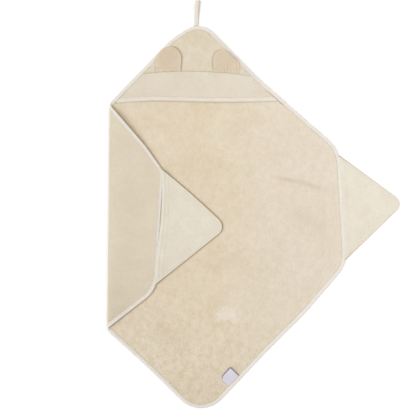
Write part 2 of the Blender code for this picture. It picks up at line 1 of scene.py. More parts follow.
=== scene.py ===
"""The looks of a hooded baby bath cape that lies flat, face up, its left corner folded over.

Every piece is first drawn flat, as it was cut, in millimetres: x to the right, y towards the hood,
and w up through the cloth from its smooth back (w = 0) to its face. lay() then folds the left
corner over. The flat drawing also goes into a UV map called "cloth", so that pile and weave
follow the cloth round the fold. The sizes below are those of the cloth that shows, which in
places is a little thinner or flatter than the plain solids that it stands for.
"""

import math

import bpy
import numpy as np
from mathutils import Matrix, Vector, geometry


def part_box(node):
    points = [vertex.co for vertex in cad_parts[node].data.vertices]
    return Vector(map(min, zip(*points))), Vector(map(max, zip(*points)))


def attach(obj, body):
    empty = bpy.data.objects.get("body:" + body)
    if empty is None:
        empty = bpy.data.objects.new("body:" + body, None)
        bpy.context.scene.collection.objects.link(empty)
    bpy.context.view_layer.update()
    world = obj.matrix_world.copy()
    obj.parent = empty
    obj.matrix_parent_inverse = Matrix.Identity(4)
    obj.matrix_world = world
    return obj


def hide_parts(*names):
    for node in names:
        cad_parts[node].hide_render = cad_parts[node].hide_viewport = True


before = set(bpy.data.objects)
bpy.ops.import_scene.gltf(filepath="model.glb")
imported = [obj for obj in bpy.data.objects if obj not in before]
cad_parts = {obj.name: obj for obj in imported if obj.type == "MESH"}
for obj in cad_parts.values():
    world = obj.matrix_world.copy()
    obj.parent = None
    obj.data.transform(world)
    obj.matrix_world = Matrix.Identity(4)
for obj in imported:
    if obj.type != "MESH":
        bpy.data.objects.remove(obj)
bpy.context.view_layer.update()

MM = 0.001

# ======== sizes, millimetres

GAP = 0.3  # between two cloths that touch
TERRY = 3.0  # towelling with its loops
TERRY_RIM = 1.4  # and pressed in the binding
MUSLIN = 1.0
EAR_CLOTH = 2.0
LOOP_TAPE = 1.1
BINDING_WALL = 0.8
BINDING_WIDTH = 10.0

BODY_CORNERS = (
    # name,          x,     y,  radius
    ("tip",         -138,  484,  58),
    ("seam_right",    15,  329,  60),
    ("right_upper",  227,  144,  95),
    ("right_lower",  245, -160,  85),
    ("swell",        134, -288, 200),
    ("dip",           28, -394, 200),
    ("bottom",      -135, -567,  74),
    ("hollow",      -267, -438, 200),
    ("left_lower",  -516, -210,  90),
    ("left_upper",  -528,   99,  20),
    ("left_bow",    -479,  161, 150),
    ("tip_left",    -214,  434, 110),
)
ARC_CELL = 3.0

FOLD_FOOT = np.array((-382.9, -330.1))
FOLD_HEAD = np.array((-376.5, 264.0))
# These pairs are for the fold's foot and its head.
FOLD_RADIUS = (5.0, 5.4)
FLAP_RISE = (1.2, 3.6)  # how far the folded corner springs up past the fold
FLAP_SETTLE = (60.0, 150.0)  # how far from the fold it comes to rest on the body
FLAP_SLIP = (0.11, 0.07)  # how far it slips down for each mm from the fold
# share of the way to rest, share of the fold's height or of the rise that is left there
FLAP_HEIGHT_LEFT = ((0.0, 1.0), (0.10, 0.93), (0.25, 0.72), (0.45, 0.42), (0.70, 0.12), (1.0, 0.0))
FLAP_RISE_SHARE = ((0.0, 0.0), (0.10, 0.55), (0.25, 1.0), (0.45, 0.9), (0.70, 0.4), (1.0, 0.0))

RIM_INSET = BINDING_WALL + 0.1 + GAP + 0.1
FIELD_INSET = BINDING_WIDTH + 2.0 * GAP
EDGE_HEIGHT = 3.6
HOOD_EDGE_HEIGHT = 5.4

HOOD_LEFT = 219.0  # the hood's left edge, from the square corner to the hem
HOOD_RIGHT = 92.0  # and its right edge, past the next corner
SEAM_TOP = (-170.0, 348.3)
SEAM_BOW = 4.5e-4
HEM_LINE = (
    # x, y of the hem's lower edge
    (-380.0, 261.5), (-340.0, 266.5), (-290.0, 269.5), (-200.0, 269.5), (-100.0, 267.0),
    (-20.0, 267.5), (90.0, 271.5),
)
HEM_WIDTH = 11.0
HEM_SLOT = BINDING_WALL + GAP
HEM_TUCK = BINDING_WALL + 0.1 + GAP
HEM_END_INSET = FIELD_INSET + 0.1
SIDE_TUCK = (24.0, 42.0)  # above the hem, where the band's sides go under the binding
HOOD_UNDER = TERRY + GAP
HOOD_RIM = 1.0
MOUTH_LIFT = 1.0
MOUTH_EASE = (22.0, 85.0)  # in from the sides
MOUTH_DEPTH = (50.0, 70.0)  # up from the hem

EARS = (
    # name,       node,     x of the middle, width, height, lean, turn in degrees, painted shade inside
    ("left_ear",  "ear_left",  -224.0,  69.0,  66.0,   7.0,  0.0, 0.6),
    ("right_ear", "ear_right",  -71.0,  70.0,  61.0, -10.0, -2.0, 0.4),
)
EARS_APART = -147.0  # the x half-way between them
EAR_FOOT = 0.6  # the foot's height above the seam
EAR_INSET = 1.5  # in from the cape's edge
EAR_STRAIGHT = 0.42  # share of the height below the arch

GLOVE_TIP_RADIUS = 24.0
RIGHT_GLOVE_TIP = (397.0, 2.8)
LEFT_GLOVE_TIP = (-697.0, -25.5)
# how far past the middles of the cape's two corners a glove's base begins and ends
RIGHT_GLOVE_SIDES = (13.0, -11.0)
LEFT_GLOVE_SIDES = (6.5, 18.0)
LEFT_FRONT_SIDES = (17.0, -2.0)
RIGHT_FRONT_ON = 2.2  # how far a panel's base lies onto the cape
LEFT_BACK_ON = 4.0
MOUTH_SET_BACK = 1.0
LEFT_GLOVE_BOW = 2.4
MOUTH_ARCH_END = 0.9  # share of the glove's length that the open mouth's arch takes
MOUTH_ARCH = (
    # share of the way across the mouth, how far it stands open there
    (0.00, 0.0), (0.22, 0.0), (0.32, 0.5), (0.45, 1.9), (0.55, 2.4),
    (0.70, 2.4), (0.82, 1.1), (0.90, 0.0), (1.00, 0.0),
)
MOUTH_PULL = (
    # share of the way across the mouth, how far its edge lies back towards the glove's tip
    (0.00, 0.0), (0.12, -2.5), (0.22, -2.5), (0.32, -0.8), (0.42, 2.0),
    (0.52, 3.5), (0.70, 3.5), (0.82, 2.0), (0.90, -1.0), (1.00, 0.0),
)

LOOP_X = -149.3
LOOP_REACH = 67.0
LOOP_WIDTH = 8.5
LOOP_SPREAD = (0.8, 2.7)  # half the space between its legs, at the foot and at the end
LOOP_LEAN = 4.3
LOOP_EYE = 6.4
LOOP_FOOT = 1.6
LOOP_SETTLE = 0.6

LABEL_FROM_BOTTOM = 133.0
LABEL_WIDTH = 39.0
LABEL_REACH = 31.0 + 1.3  # with its curl
LABEL_LAYER = 0.32
LABEL_FOLD = 0.55  # between the middles of its two layers
# These pairs are for its end near the square's corner, and how much more at its other end.
LABEL_LIFT = (0.4, 1.1)
LABEL_BELLY = (0.15, 1.5)
LABEL_TURNED = 0.20  # share of its reach that is turned under at the corner


# ======== small helpers

def blend(a, b, share):
    """The value a given share of the way from a to b."""
    return a + (b - a) * share


def smooth(share):
    """0 to 1 with level ends."""
    share = np.clip(share, 0.0, 1.0)
    return share * share * (3.0 - 2.0 * share)


def bell(off, width):
    """1 on a line, and less with the distance off it."""
    return np.exp(-(off / width) ** 2)


def read_curve(rows, x, level_ends=True):
    """A smooth curve through (x, y) rows, read at x: its height and its slope."""
    xs, ys = np.array(rows, float).T
    slopes = np.zeros(len(xs))
    slopes[1:-1] = (ys[2:] - ys[:-2]) / (xs[2:] - xs[:-2])
    if not level_ends:
        slopes[0] = (ys[1] - ys[0]) / (xs[1] - xs[0])
        slopes[-1] = (ys[-1] - ys[-2]) / (xs[-1] - xs[-2])
    x = np.clip(x, xs[0], xs[-1])
    cell = np.clip(np.searchsorted(xs, x, side="right") - 1, 0, len(xs) - 2)
    wide = xs[cell + 1] - xs[cell]
    t = (x - xs[cell]) / wide
    y0, y1 = ys[cell], ys[cell + 1]
    m0, m1 = slopes[cell] * wide, slopes[cell + 1] * wide
    height = (y0 * (2 * t**3 - 3 * t**2 + 1) + m0 * (t**3 - 2 * t**2 + t)
              + y1 * (3 * t**2 - 2 * t**3) + m1 * (t**3 - t**2))
    slope = (y0 * (6 * t**2 - 6 * t) + m0 * (3 * t**2 - 4 * t + 1)
             + y1 * (6 * t - 6 * t**2) + m1 * (3 * t**2 - 2 * t)) / wide
    return height, slope


def unit(way):
    """A direction of length 1, or a row of them."""
    way = np.asarray(way, float)
    return way / np.linalg.norm(way, axis=-1, keepdims=True)


def turned(way, angle):
    """A flat direction turned anticlockwise, for one angle or a row of them."""
    cos, sin = np.cos(angle), np.sin(angle)
    return np.stack((way[..., 0] * cos - way[..., 1] * sin,
                     way[..., 0] * sin + way[..., 1] * cos), axis=-1)


def at_level(flat, level):
    """Flat places with a level through the cloth."""
    return np.column_stack((flat, np.broadcast_to(level, len(flat))))


def uneven(flat, size, seed, waves=14):
    """A gentle uneven field, about -1 to 1, over flat places or along a row of ways."""
    flat = np.asarray(flat, float)
    if flat.ndim == 1:
        flat = at_level(flat, 0.0)
    draw = np.random.default_rng(seed)
    total = np.zeros(len(flat))
    for _ in range(waves):
        angle = draw.uniform(0.0, 2.0 * math.pi)
        length = size * draw.uniform(0.7, 1.7)
        phase = draw.uniform(0.0, 2.0 * math.pi)
        along = flat[:, 0] * math.cos(angle) + flat[:, 1] * math.sin(angle)
        total += np.sin(2.0 * math.pi * along / length + phase)
    return total / math.sqrt(waves * 1.5)


def creases(flat, rows):
    """Soft ridges, each with a shallow trough beside it, and how deep in a trough a place is."""
    total, troughs = np.zeros(len(flat)), np.zeros(len(flat))
    for x0, y0, x1, y1, bow, width, height in rows:
        off = flat - (x0, y0)
        along = unit((x1 - x0, y1 - y0))
        way = off @ along / math.hypot(x1 - x0, y1 - y0)
        aside = off @ (-along[1], along[0]) - bow * 4.0 * way * (1.0 - way)
        fade = smooth(way / 0.25) * smooth((1.0 - way) / 0.25)
        trough = fade * bell(aside - 2.0 * width, width)
        total += height * (fade * bell(aside, width) - 0.35 * trough)
        troughs += abs(height) * trough
    return total, troughs


# ======== the outline

class Outline:
    """The cape's rounded outline, clockwise from the hood's tip, as places along it."""

    def __init__(self, corners):
        self.arcs = {}
        self.reach = {}
        square = np.array([row[1:3] for row in corners], float)
        ways, spots, inwards = [], [], []
        for i, (name, _, _, radius) in enumerate(corners):
            way_in = unit(square[i] - square[i - 1])
            way_out = unit(square[(i + 1) % len(square)] - square[i])
            inward = np.array((way_in[1], -way_in[0]))
            turn = math.acos(float(way_in @ way_out))
            sense = 1.0 if way_in[0] * way_out[1] - way_in[1] * way_out[0] < 0.0 else -1.0
            reach = radius * math.tan(turn / 2.0)
            start = square[i] - way_in * reach
            centre = start + inward * (radius * sense)
            begin = ways[-1][-1] + math.dist(start, spots[-1][-1]) if ways else 0.0
            steps = np.linspace(0.0, turn, math.ceil(radius * turn / ARC_CELL) + 1)
            normals = turned(inward, -sense * steps)
            ways.append(begin + radius * steps)
            spots.append(centre - normals * (radius * sense))
            inwards.append(normals)
            self.arcs[name] = (ways[-1][0], ways[-1][-1])
            self.reach[name] = reach
        self.length = ways[-1][-1] + math.dist(spots[0][0], spots[-1][-1])
        self.ways = np.append(np.concatenate(ways), self.length)
        self.spots = np.vstack(spots + [spots[0][:1]])
        self.inwards = np.vstack(inwards + [inwards[0][:1]])

    def mark(self, name):
        """The middle of a corner's arc."""
        return sum(self.arcs[name]) / 2.0

    def after(self, name, reach):
        """A place on the edge that leaves a corner, a reach from the square corner."""
        return self.arcs[name][1] + reach - self.reach[name]

    def before(self, name, reach):
        """A place on the edge that comes to the corner."""
        return self.arcs[name][0] - reach + self.reach[name]

    def at(self, ways):
        """The points at ways along the outline, and the way into the cloth there."""
        ways = np.asarray(ways, float) % self.length
        spots, inwards = (np.stack([np.interp(ways, self.ways, rows[:, axis]) for axis in (0, 1)],
                                   axis=-1) for rows in (self.spots, self.inwards))
        return spots, unit(inwards)

    def stretch(self, start, stop, cell=ARC_CELL):
        """Even ways from start to stop, walked clockwise."""
        if stop <= start:
            stop += self.length
        return np.linspace(start, stop, math.ceil((stop - start) / cell) + 1)

    def round(self, cell=ARC_CELL):
        """Even ways all round."""
        return np.linspace(0.0, self.length, math.ceil(self.length / cell), endpoint=False)


OUTLINE = Outline(BODY_CORNERS)
EDGE, EDGE_INWARDS = OUTLINE.at(OUTLINE.round())

# The part's solids were moved to stand round the middle of their box, and these pieces move alike.
SHIFT = np.array((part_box("binding_right_end")[1][0] / MM - OUTLINE.spots[:, 0].max(),
                  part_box("binding_lower_left")[0][1] / MM - OUTLINE.spots[:, 1].min(), 0.0))


# ======== the fold

FOLD_UP = unit(FOLD_HEAD - FOLD_FOOT)
FOLD_OUT = np.array((-FOLD_UP[1], FOLD_UP[0]))
FOLD_LENGTH = math.dist(FOLD_HEAD, FOLD_FOOT)
FLAP_REST = TERRY + GAP + EDGE_HEIGHT


def from_fold(flat):
    """How far out past the fold's line flat places are, and how far up along it."""
    off = flat - FOLD_FOOT
    return off @ FOLD_OUT, off @ FOLD_UP


def lay(points):
    """Where flat points (x, y, w) go when the cape lies with its left corner folded over."""
    out, up = from_fold(points[:, :2])
    w = points[:, 2]
    share = up / FOLD_LENGTH
    radius = blend(*FOLD_RADIUS, share)
    settle = blend(*FLAP_SETTLE, share)
    rise = blend(*FLAP_RISE, share)
    angle = np.clip(out / radius + 1.0, 0.0, math.pi)
    way = np.maximum(out - (math.pi - 1.0) * radius, 0.0)
    left, left_slope = read_curve(FLAP_HEIGHT_LEFT, way / settle)
    high, high_slope = read_curve(FLAP_RISE_SHARE, way / settle)
    bend_height = 2.0 * radius - FLAP_REST
    slope = (bend_height * left_slope + rise * high_slope) / settle
    past = way > 0.0
    steep = np.hypot(slope, 1.0)
    side = radius * (np.sin(angle) - 1.0) + np.minimum(out + radius, 0.0)
    side = np.where(past, -radius - way, side)
    level = np.where(past, FLAP_REST + bend_height * left + rise * high,
                     radius * (1.0 - np.cos(angle)))
    through_side = np.where(past, -slope / steep, -np.sin(angle))
    through_up = np.where(past, -1.0 / steep, np.cos(angle))
    place = FOLD_FOOT + np.outer(side + through_side * w, FOLD_OUT)
    place += np.outer(up - blend(*FLAP_SLIP, share) * way, FOLD_UP)
    return at_level(place, level + through_up * w)


# ======== making meshes

def make_mesh(name, points, triangles, cloth, finishes, kinds=None, hollow=None):
    """A closed mesh from points in millimetres, with its flat drawing and its painted shade."""
    mesh = bpy.data.meshes.new(name)
    places = (points + SHIFT) * MM
    a, b, c = (places[triangles[:, i]] for i in range(3))
    if (a * np.cross(b, c)).sum() < 0.0:
        triangles = triangles[:, ::-1]
    for rows, count, field, values in (
            (mesh.vertices, len(places), "co", places.astype(np.float32).ravel()),
            (mesh.loops, triangles.size, "vertex_index", triangles.astype(np.int32).ravel()),
            (mesh.polygons, len(triangles), "loop_start",
             np.arange(0, triangles.size, 3, dtype=np.int32))):
        rows.add(count)
        rows.foreach_set(field, values)
    if kinds is not None:
        mesh.polygons.foreach_set("material_index", kinds.astype(np.int32))
    mesh.uv_layers.new(name="cloth")
    flat = (cloth * MM)[triangles.ravel()]
    mesh.uv_layers["cloth"].data.foreach_set("uv", flat.astype(np.float32).ravel())
    if hollow is not None:
        # The "hollow" share is painted shade: how much of the finish's deep tone darkens each
        # point.
        layer = mesh.attributes.new("hollow", "FLOAT", "POINT")
        layer.data.foreach_set("value", np.clip(hollow, 0.0, 1.0).astype(np.float32))
    mesh.update(calc_edges=True)
    mesh.validate()
    mesh.shade_smooth()
    for finish in finishes:
        mesh.materials.append(finish)
    piece = bpy.data.objects.new(name, mesh)
    bpy.context.scene.collection.objects.link(piece)
    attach(piece, "root")
    return piece


def from_rim(points, rim, closed=True, at_once=1500):
    """How far flat points are from a line of places."""
    starts = rim if closed else rim[:-1]
    steps = (np.roll(rim, -1, axis=0) if closed else rim[1:]) - starts
    square = (steps**2).sum(axis=1)
    apart = []
    for first in range(0, len(points), at_once):
        off = points[first:first + at_once, None] - starts
        share = np.clip((off * steps).sum(axis=2) / square, 0.0, 1.0)
        apart.append(((off - share[..., None] * steps) ** 2).sum(axis=2).min(axis=1))
    return np.sqrt(np.concatenate(apart))


def inset_of(flat):
    """How far in from the cape's edge flat places are."""
    return from_rim(flat, EDGE)


LATTICE_CLEAR = 0.6  # share of a cell between the rim's rows and the lattice
ROW_KEPT = 0.97  # share of its inset that a point of a row must still have


def fill_net(rim, insets, cell, fine=None):
    """A flat net inside a rim: rows of points along it at some insets, then a lattice of cells.

    fine holds a test for places that have a finer net, and the points of that net. It returns
    the points, the rim's first, then the triangles, and the rim's walk round.
    """
    ahead = np.roll(rim, -1, axis=0)
    if (rim[:, 0] * ahead[:, 1] - rim[:, 1] * ahead[:, 0]).sum() < 0.0:
        rim = rim[::-1]
    along = unit(np.roll(rim, -1, axis=0) - np.roll(rim, 1, axis=0))
    inward = np.column_stack((-along[:, 1], along[:, 0]))
    low, high = rim.min(axis=0), rim.max(axis=0)
    rows = np.arange(low[1], high[1], cell * math.sqrt(0.75))
    columns = np.arange(low[0], high[0], cell)
    grid = np.array([(x + cell * 0.5 * (j % 2), y) for j, y in enumerate(rows) for x in columns])
    grid = grid[from_rim(grid, rim) > insets[-1] + cell * LATTICE_CLEAR]
    if fine is not None:
        grid = np.vstack((grid[~fine[0](grid)], fine[1]))
    parts = [rim]
    for inset in insets:
        row = rim + inward * inset
        parts.append(row[from_rim(row, rim) > inset * ROW_KEPT])
    points = np.vstack(parts + [grid])
    found = geometry.delaunay_2d_cdt([Vector(point) for point in points.tolist()], [],
                                     [list(range(len(rim)))], 1, 1e-5)
    used, triangles = np.unique(np.array(found[2]), return_inverse=True)
    points = np.array([point[:] for point in found[0]])[used]
    return points, (triangles.reshape(-1, 3), np.arange(len(rim)))


def cells(a, b, c, d):
    """Two triangles for each four-cornered cell, from the indices of its corners."""
    a, b, c, d = (corner.ravel() for corner in (a, b, c, d))
    return np.vstack((np.column_stack((a, b, c)), np.column_stack((a, c, d))))


def grid_net(rows, columns):
    """The triangles of a grid of rows by columns of points, and its border's walk round."""
    index = np.arange(rows * columns).reshape(rows, columns)
    border = np.concatenate((index[0, :-1], index[:-1, -1], index[-1, :0:-1], index[:0:-1, 0]))
    return cells(index[:-1, :-1], index[:-1, 1:], index[1:, 1:], index[1:, :-1]), border


def tube_net(index, ends=None):
    """The triangles through rings of points: back to the first ring, or closed by two ends."""
    here = index if ends is None else index[:-1]
    there = np.roll(index, -1, axis=0) if ends is None else index[1:]
    net = cells(here, np.roll(here, -1, axis=1), np.roll(there, -1, axis=1), there)
    if ends is None:
        return net
    first, last = index[0], index[-1]
    return np.vstack((net, at_level(np.column_stack((np.roll(first, -1), first)), ends[0]),
                      at_level(np.column_stack((last, np.roll(last, -1))), ends[1])))


def make_shell(name, over, under, net, cloth, finishes, hollow):
    """Cloth between its upper and its lower points, with a wall round its rim.

    hollow is for both sides, or a pair. A second finish is for the lower side and the wall.
    """
    triangles, border = net
    count, ahead = len(over), np.roll(border, -1)
    walls = cells(border + count, ahead + count, ahead, border)
    faces = np.vstack((triangles, triangles[:, ::-1] + count, walls))
    kinds = np.zeros(len(faces))
    kinds[len(triangles):] = len(finishes) - 1
    marks = hollow if isinstance(hollow, tuple) else (hollow, hollow)
    return make_mesh(name, np.vstack((over, under)), faces, np.vstack((cloth, cloth)), finishes,
                     kinds, np.concatenate(marks))


def make_cloth(name, flat, net, over, under, finishes, hollow):
    """A piece of cloth from a flat net and the levels of its upper and lower sides."""
    return make_shell(name, lay(at_level(flat, over)), lay(at_level(flat, under)), net, flat,
                      finishes, hollow)


def make_strip(name, sections, cloth, finish, hollow, closed=False):
    """A strip through rings of points, one section after another; an open strip gets its ends."""
    sections, cloth, hollow = (np.stack(rows, axis=1) for rows in (sections, cloth, hollow))
    index = np.arange(hollow.size).reshape(hollow.shape)
    points, drawing, marks = sections.reshape(-1, 3), cloth.reshape(-1, 2), hollow.ravel()
    if closed:
        return make_mesh(name, points, tube_net(index), drawing, [finish], hollow=marks)
    points = np.vstack((points, sections[0].mean(axis=0), sections[-1].mean(axis=0)))
    drawing = np.vstack((drawing, cloth[0].mean(axis=0), cloth[-1].mean(axis=0)))
    faces = tube_net(index, (index.size, index.size + 1))
    return make_mesh(name, points, faces, drawing, [finish], hollow=np.append(marks, (0.0, 0.0)))


UP = np.array((0.0, 0.0, 1.0))
STITCH = 3.1  # with the gap after it
STITCH_LENGTH = STITCH * 0.86
THREAD_THICK = 0.55
HEM_THREAD = 0.4  # the gloves' finer thread
STITCH_HUMP = 0.55  # share of the thread's thickness, as is the next
STITCH_DIVE = 0.3
STITCH_SIDES = 5
STITCH_RINGS = (
    # share of the stitch's length, share of its thickness, share of its hump
    (0.10, 0.75, 0.45),
    (0.35, 1.00, 0.95),
    (0.65, 1.00, 0.95),
    (0.90, 0.75, 0.45),
)


def make_stitches(name, middles, along, up, thick=THREAD_THICK, sunk=0.0):
    """A row of stitches as one piece. Their middles and directions are flat, and are laid here."""
    spots = lay(middles)
    along = unit(lay(middles + along * 0.5) - spots)
    up = unit(lay(middles + up * 0.5) - spots)
    spots = spots - up * sunk
    across = unit(np.cross(up, along))
    points = []
    for way, share, hump in STITCH_RINGS:
        middle = spots + along * (STITCH_LENGTH * (way - 0.5)) + up * (thick * STITCH_HUMP * hump)
        for side in range(STITCH_SIDES):
            angle = 2.0 * math.pi * side / STITCH_SIDES
            points.append(middle + across * (thick * 0.5 * share * math.cos(angle))
                          + up * (thick * 0.5 * share * math.sin(angle)))
    for end in (-0.5, 0.5):
        points.append(spots + along * (STITCH_LENGTH * end) - up * (thick * STITCH_DIVE))
    each = len(points)
    net = tube_net(np.arange(each - 2).reshape(-1, STITCH_SIDES), (each - 2, each - 1))
    faces = (net + np.arange(len(spots))[:, None, None] * each).reshape(-1, 3)
    drawing = np.tile(np.arange(each) * 0.1, (2, len(spots))).T
    return make_mesh(name, np.stack(points, axis=1).reshape(-1, 3), faces, drawing, [THREAD])


# ======== finishes

def colour(code):
    """An sRGB hex colour as linear red, green, blue and alpha."""
    values = [int(code[i:i + 2], 16) / 255.0 for i in (1, 3, 5)]
    linear = [v / 12.92 if v <= 0.04045 else ((v + 0.055) / 1.055) ** 2.4 for v in values]
    return (*linear, 1.0)


def add(tree, kind, inputs=None, **settings):
    """Add a node, with its settings, and its inputs as values, hex colours, nodes or sockets."""
    node = tree.nodes.new("ShaderNode" + kind)
    for name, value in settings.items():
        setattr(node, name, value)
    for name, value in (inputs or {}).items():
        if isinstance(value, bpy.types.Node):
            value = value.outputs[0]
        if isinstance(value, bpy.types.NodeSocket):
            tree.links.new(value, node.inputs[name])
        else:
            node.inputs[name].default_value = colour(value) if isinstance(value, str) else value
    return node


def start_finish(name, values):
    """A new material, with values set on its shader's own sockets."""
    material = bpy.data.materials.new(name)
    material.use_nodes = True
    shader = material.node_tree.nodes["Principled BSDF"]
    for socket, value in values.items():
        shader.inputs[socket].default_value = colour(value) if isinstance(value, str) else value
    return material, material.node_tree, shader


def start_cloth(name, roughness, sheen, sheen_tint, specular):
    """A cloth's new material, and the flat cloth's places in millimetres."""
    material, tree, shader = start_finish(name, {
        "Roughness": roughness, "Specular IOR Level": specular, "Sheen Weight": sheen,
        "Sheen Roughness": 0.5, "Sheen Tint": sheen_tint})
    drawing = add(tree, "UVMap", uv_map="cloth")
    places = add(tree, "Mapping", {"Vector": drawing, "Scale": (1.0 / MM, 1.0 / MM, 1.0 / MM)})
    return material, tree, shader, places


def patches(tree, places, size, detail, low, high, turn=0.0, stretch=(1.0, 1.0), seed=0.0,
            rough=0.55):
    """Soft patches of a size in millimetres, as a value from 0 to 1."""
    laid = add(tree, "Mapping",
               {"Vector": places, "Rotation": (0.0, 0.0, math.radians(turn)),
                "Location": (seed, seed * 1.7, 0.0),
                "Scale": (1.0 / (size * stretch[0]), 1.0 / (size * stretch[1]), 1.0)})
    noise = add(tree, "TexNoise",
                {"Vector": laid, "Scale": 1.0, "Detail": detail, "Roughness": rough},
                noise_dimensions="2D")
    return add(tree, "MapRange", {"Value": noise, "From Min": low, "From Max": high},
               interpolation_type="SMOOTHSTEP")


def paint(tree, shader, base, deep, layers):
    """Lay tones over a base one, each where its share is 1, and last the deep tone of painted
    shade.
    """
    painted_shade = add(tree, "Attribute", attribute_name="hollow").outputs["Fac"]
    for share, tone in (*layers, (painted_shade, deep)):
        mix = add(tree, "Mix", {0: share, 6: base, 7: tone}, data_type="RGBA")
        base = mix.outputs[2]
    tree.links.new(base, shader.inputs["Base Color"])


def relief(tree, shader, layers):
    """Bump layers, each a height from 0 to 1 and how many millimetres it stands up."""
    inputs = {}
    for height, rise in layers:
        inputs |= {"Height": height, "Distance": rise * MM, "Strength": 1.0}
        inputs["Normal"] = add(tree, "Bump", inputs).outputs[0]
    tree.links.new(inputs["Normal"], shader.inputs["Normal"])


# the deep tones that painted shade mixes in
TERRY_SHADE_TONE = "#957540"
TERRY_GREY = "#d8d1ca"
TERRY_PRESSED = "#ddd3c8"
COTTON_SHADE_TONE = "#9d8d72"
DRAWN_LOOP = 2.6  # A loop is 1.5 mm across, but that wouldn't show.
PRESSED_SPOT = (-67.0, -288.0, 0.0)
PRESSED_REACH = (38.0, 24.0)  # half its length and width


def terry_loops(name, light, mid, dark, blush, pale):
    """Undyed cotton towelling with its loops standing: a dull nap, mottled where the loops lean."""
    material, tree, shader, places = start_cloth(name, 0.95, 0.25, "#fff3df", 0.2)
    # The pile is ruffled at the bottom corner and lies smoother everywhere else.
    towards = add(tree, "VectorMath", {0: places, 1: (0.3, 0.95, 0.0)}, operation="DOT_PRODUCT")
    ruffled = add(tree, "MapRange", {"Value": towards.outputs["Value"], "From Min": -440.0,
                                     "From Max": -250.0, "To Min": 0.95, "To Max": 0.46})
    drifts = patches(tree, places, 95.0, 4.0, 0.34, 0.66, seed=5.0, rough=0.6)
    warmth = patches(tree, places, 60.0, 2.0, 0.40, 0.75, seed=47.0)
    tufts = patches(tree, places, 16.0, 8.0, 0.22, 0.78, 25.0, (1.0, 1.15), 31.0, 0.8)
    mottle = add(tree, "Math", {0: tufts, 1: ruffled}, operation="MULTIPLY")
    risen = add(tree, "Math", {0: 1.0, 1: tufts}, operation="SUBTRACT")
    tops = add(tree, "Math", {0: risen, 1: ruffled}, operation="MULTIPLY")
    cells_of_pile = add(tree, "TexVoronoi", {"Vector": places, "Scale": 1.0 / DRAWN_LOOP,
                                             "Smoothness": 0.6, "Randomness": 0.9},
                        voronoi_dimensions="2D", feature="SMOOTH_F1")
    specks = add(tree, "MapRange", {"Value": cells_of_pile, "From Min": 0.1, "From Max": 0.75,
                                    "To Min": 0.0, "To Max": 0.32})
    loops = add(tree, "Math", {0: 1.0, 1: cells_of_pile}, operation="SUBTRACT")
    # The cape's right side is a little greyer than its left.
    side = add(tree, "SeparateXYZ", {0: places})
    greyer = add(tree, "MapRange", {"Value": side, "From Min": -90.0, "From Max": 90.0,
                                    "To Min": 0.0, "To Max": 0.62})
    # A ragged patch of pile lies pressed flat, and is paler.
    off = add(tree, "VectorMath", {0: places, 1: PRESSED_SPOT}, operation="SUBTRACT")
    squeezed = add(tree, "VectorMath",
                   {0: off, 1: (1.0 / PRESSED_REACH[0], 1.0 / PRESSED_REACH[1], 0.0)},
                   operation="MULTIPLY")
    reach = add(tree, "VectorMath", {0: squeezed}, operation="LENGTH")
    ragged = add(tree, "Math", {0: tufts, 1: 0.9, 2: reach.outputs["Value"]},
                 operation="MULTIPLY_ADD")
    pressed = add(tree, "MapRange", {"Value": ragged, "From Min": 0.9, "From Max": 1.6,
                                     "To Min": 0.75, "To Max": 0.0})
    paint(tree, shader, mid, TERRY_SHADE_TONE, (
        (drifts, light), (warmth, blush), (greyer, TERRY_GREY), (mottle, dark), (tops, pale),
        (specks, dark), (pressed, TERRY_PRESSED)))
    relief(tree, shader, ((mottle, 0.55), (loops, 0.45)))
    return material


def woven(name, light, mid, dark, deep=COTTON_SHADE_TONE, thread=1.2, turn=0.0, roughness=0.9,
          sheen=0.15, slub=0.5, inner=None):
    """Plain-woven cloth: crossing threads with slubs, faintly streaked along the threads.

    deep is the tone of its painted shade.
    inner is the tone of a binding's inner edge, darker than its outer part.
    """
    material, tree, shader, places = start_cloth(name, roughness, sheen, "#fff6e8", 0.3)
    drifts = patches(tree, places, 60.0, 2.0, 0.3, 0.7)
    weft = patches(tree, places, thread, 2.0, 0.3, 0.7, turn, (14.0, 1.0), 11.0)
    warp = patches(tree, places, thread, 2.0, 0.3, 0.7, turn, (1.0, 11.0), 23.0)
    threads = add(tree, "Math", {0: weft, 1: warp}, operation="ADD")
    slubs = add(tree, "MapRange", {"Value": threads, "From Min": 0.2, "From Max": 1.8,
                                   "To Min": 0.0, "To Max": slub})
    layers = [(drifts, light), (slubs, dark)]
    if inner is not None:
        height = add(tree, "SeparateXYZ", {0: places}).outputs[1]
        inset = add(tree, "Math", {0: height}, operation="ABSOLUTE")
        inwards = add(tree, "MapRange", {"Value": inset, "From Min": 4.5, "From Max": 9.0})
        layers.insert(1, (inwards, inner))
    paint(tree, shader, mid, deep, layers)
    relief(tree, shader, ((weft, 0.18), (warp, 0.18)))
    return material


# Threads are drawn 2 to 5 times as coarse as they are, because finer ones wouldn't show.

# Undyed terry: the warmest and most mottled cloth, with no gloss.
# Its painted shade, beside the folded corner, in creases and at seams, is a deep brown.
TERRY_FACE = terry_loops("cotton_terry_loops", "#dbd0bd", "#d1c2a7", "#c5b498", "#d8c7b2",
                         "#dfd5c4")
# The same terry over the hood's tip: more worn, so a little greyer and duller.
TERRY_HOOD = terry_loops("cotton_terry_hood", "#d6cdbd", "#cdc1a9", "#c1b298", "#d3c6b3",
                         "#dcd4c5")
# The terry's back has no loops: a close weave, smooth and matt, its threads on the slant.
TERRY_BACK = woven("cotton_terry_back", "#d6cbb8", "#d2c6b2", "#c9bda8", "#8d7654", 1.8, 45.0, 0.95)
# Cotton muslin of soft uneven threads: pale and dry, with slubs that catch the light.
GLOVE_MUSLIN = woven("cotton_muslin_glove", "#dcd5c7", "#d9d0c1", "#cfc6b5", thread=1.6)
# The same muslin with terry behind it, which shows through as a warmer tone.
HOOD_MUSLIN = woven("cotton_muslin_hood", "#d7cdbe", "#d3c8b7", "#c9bfac", thread=1.6)
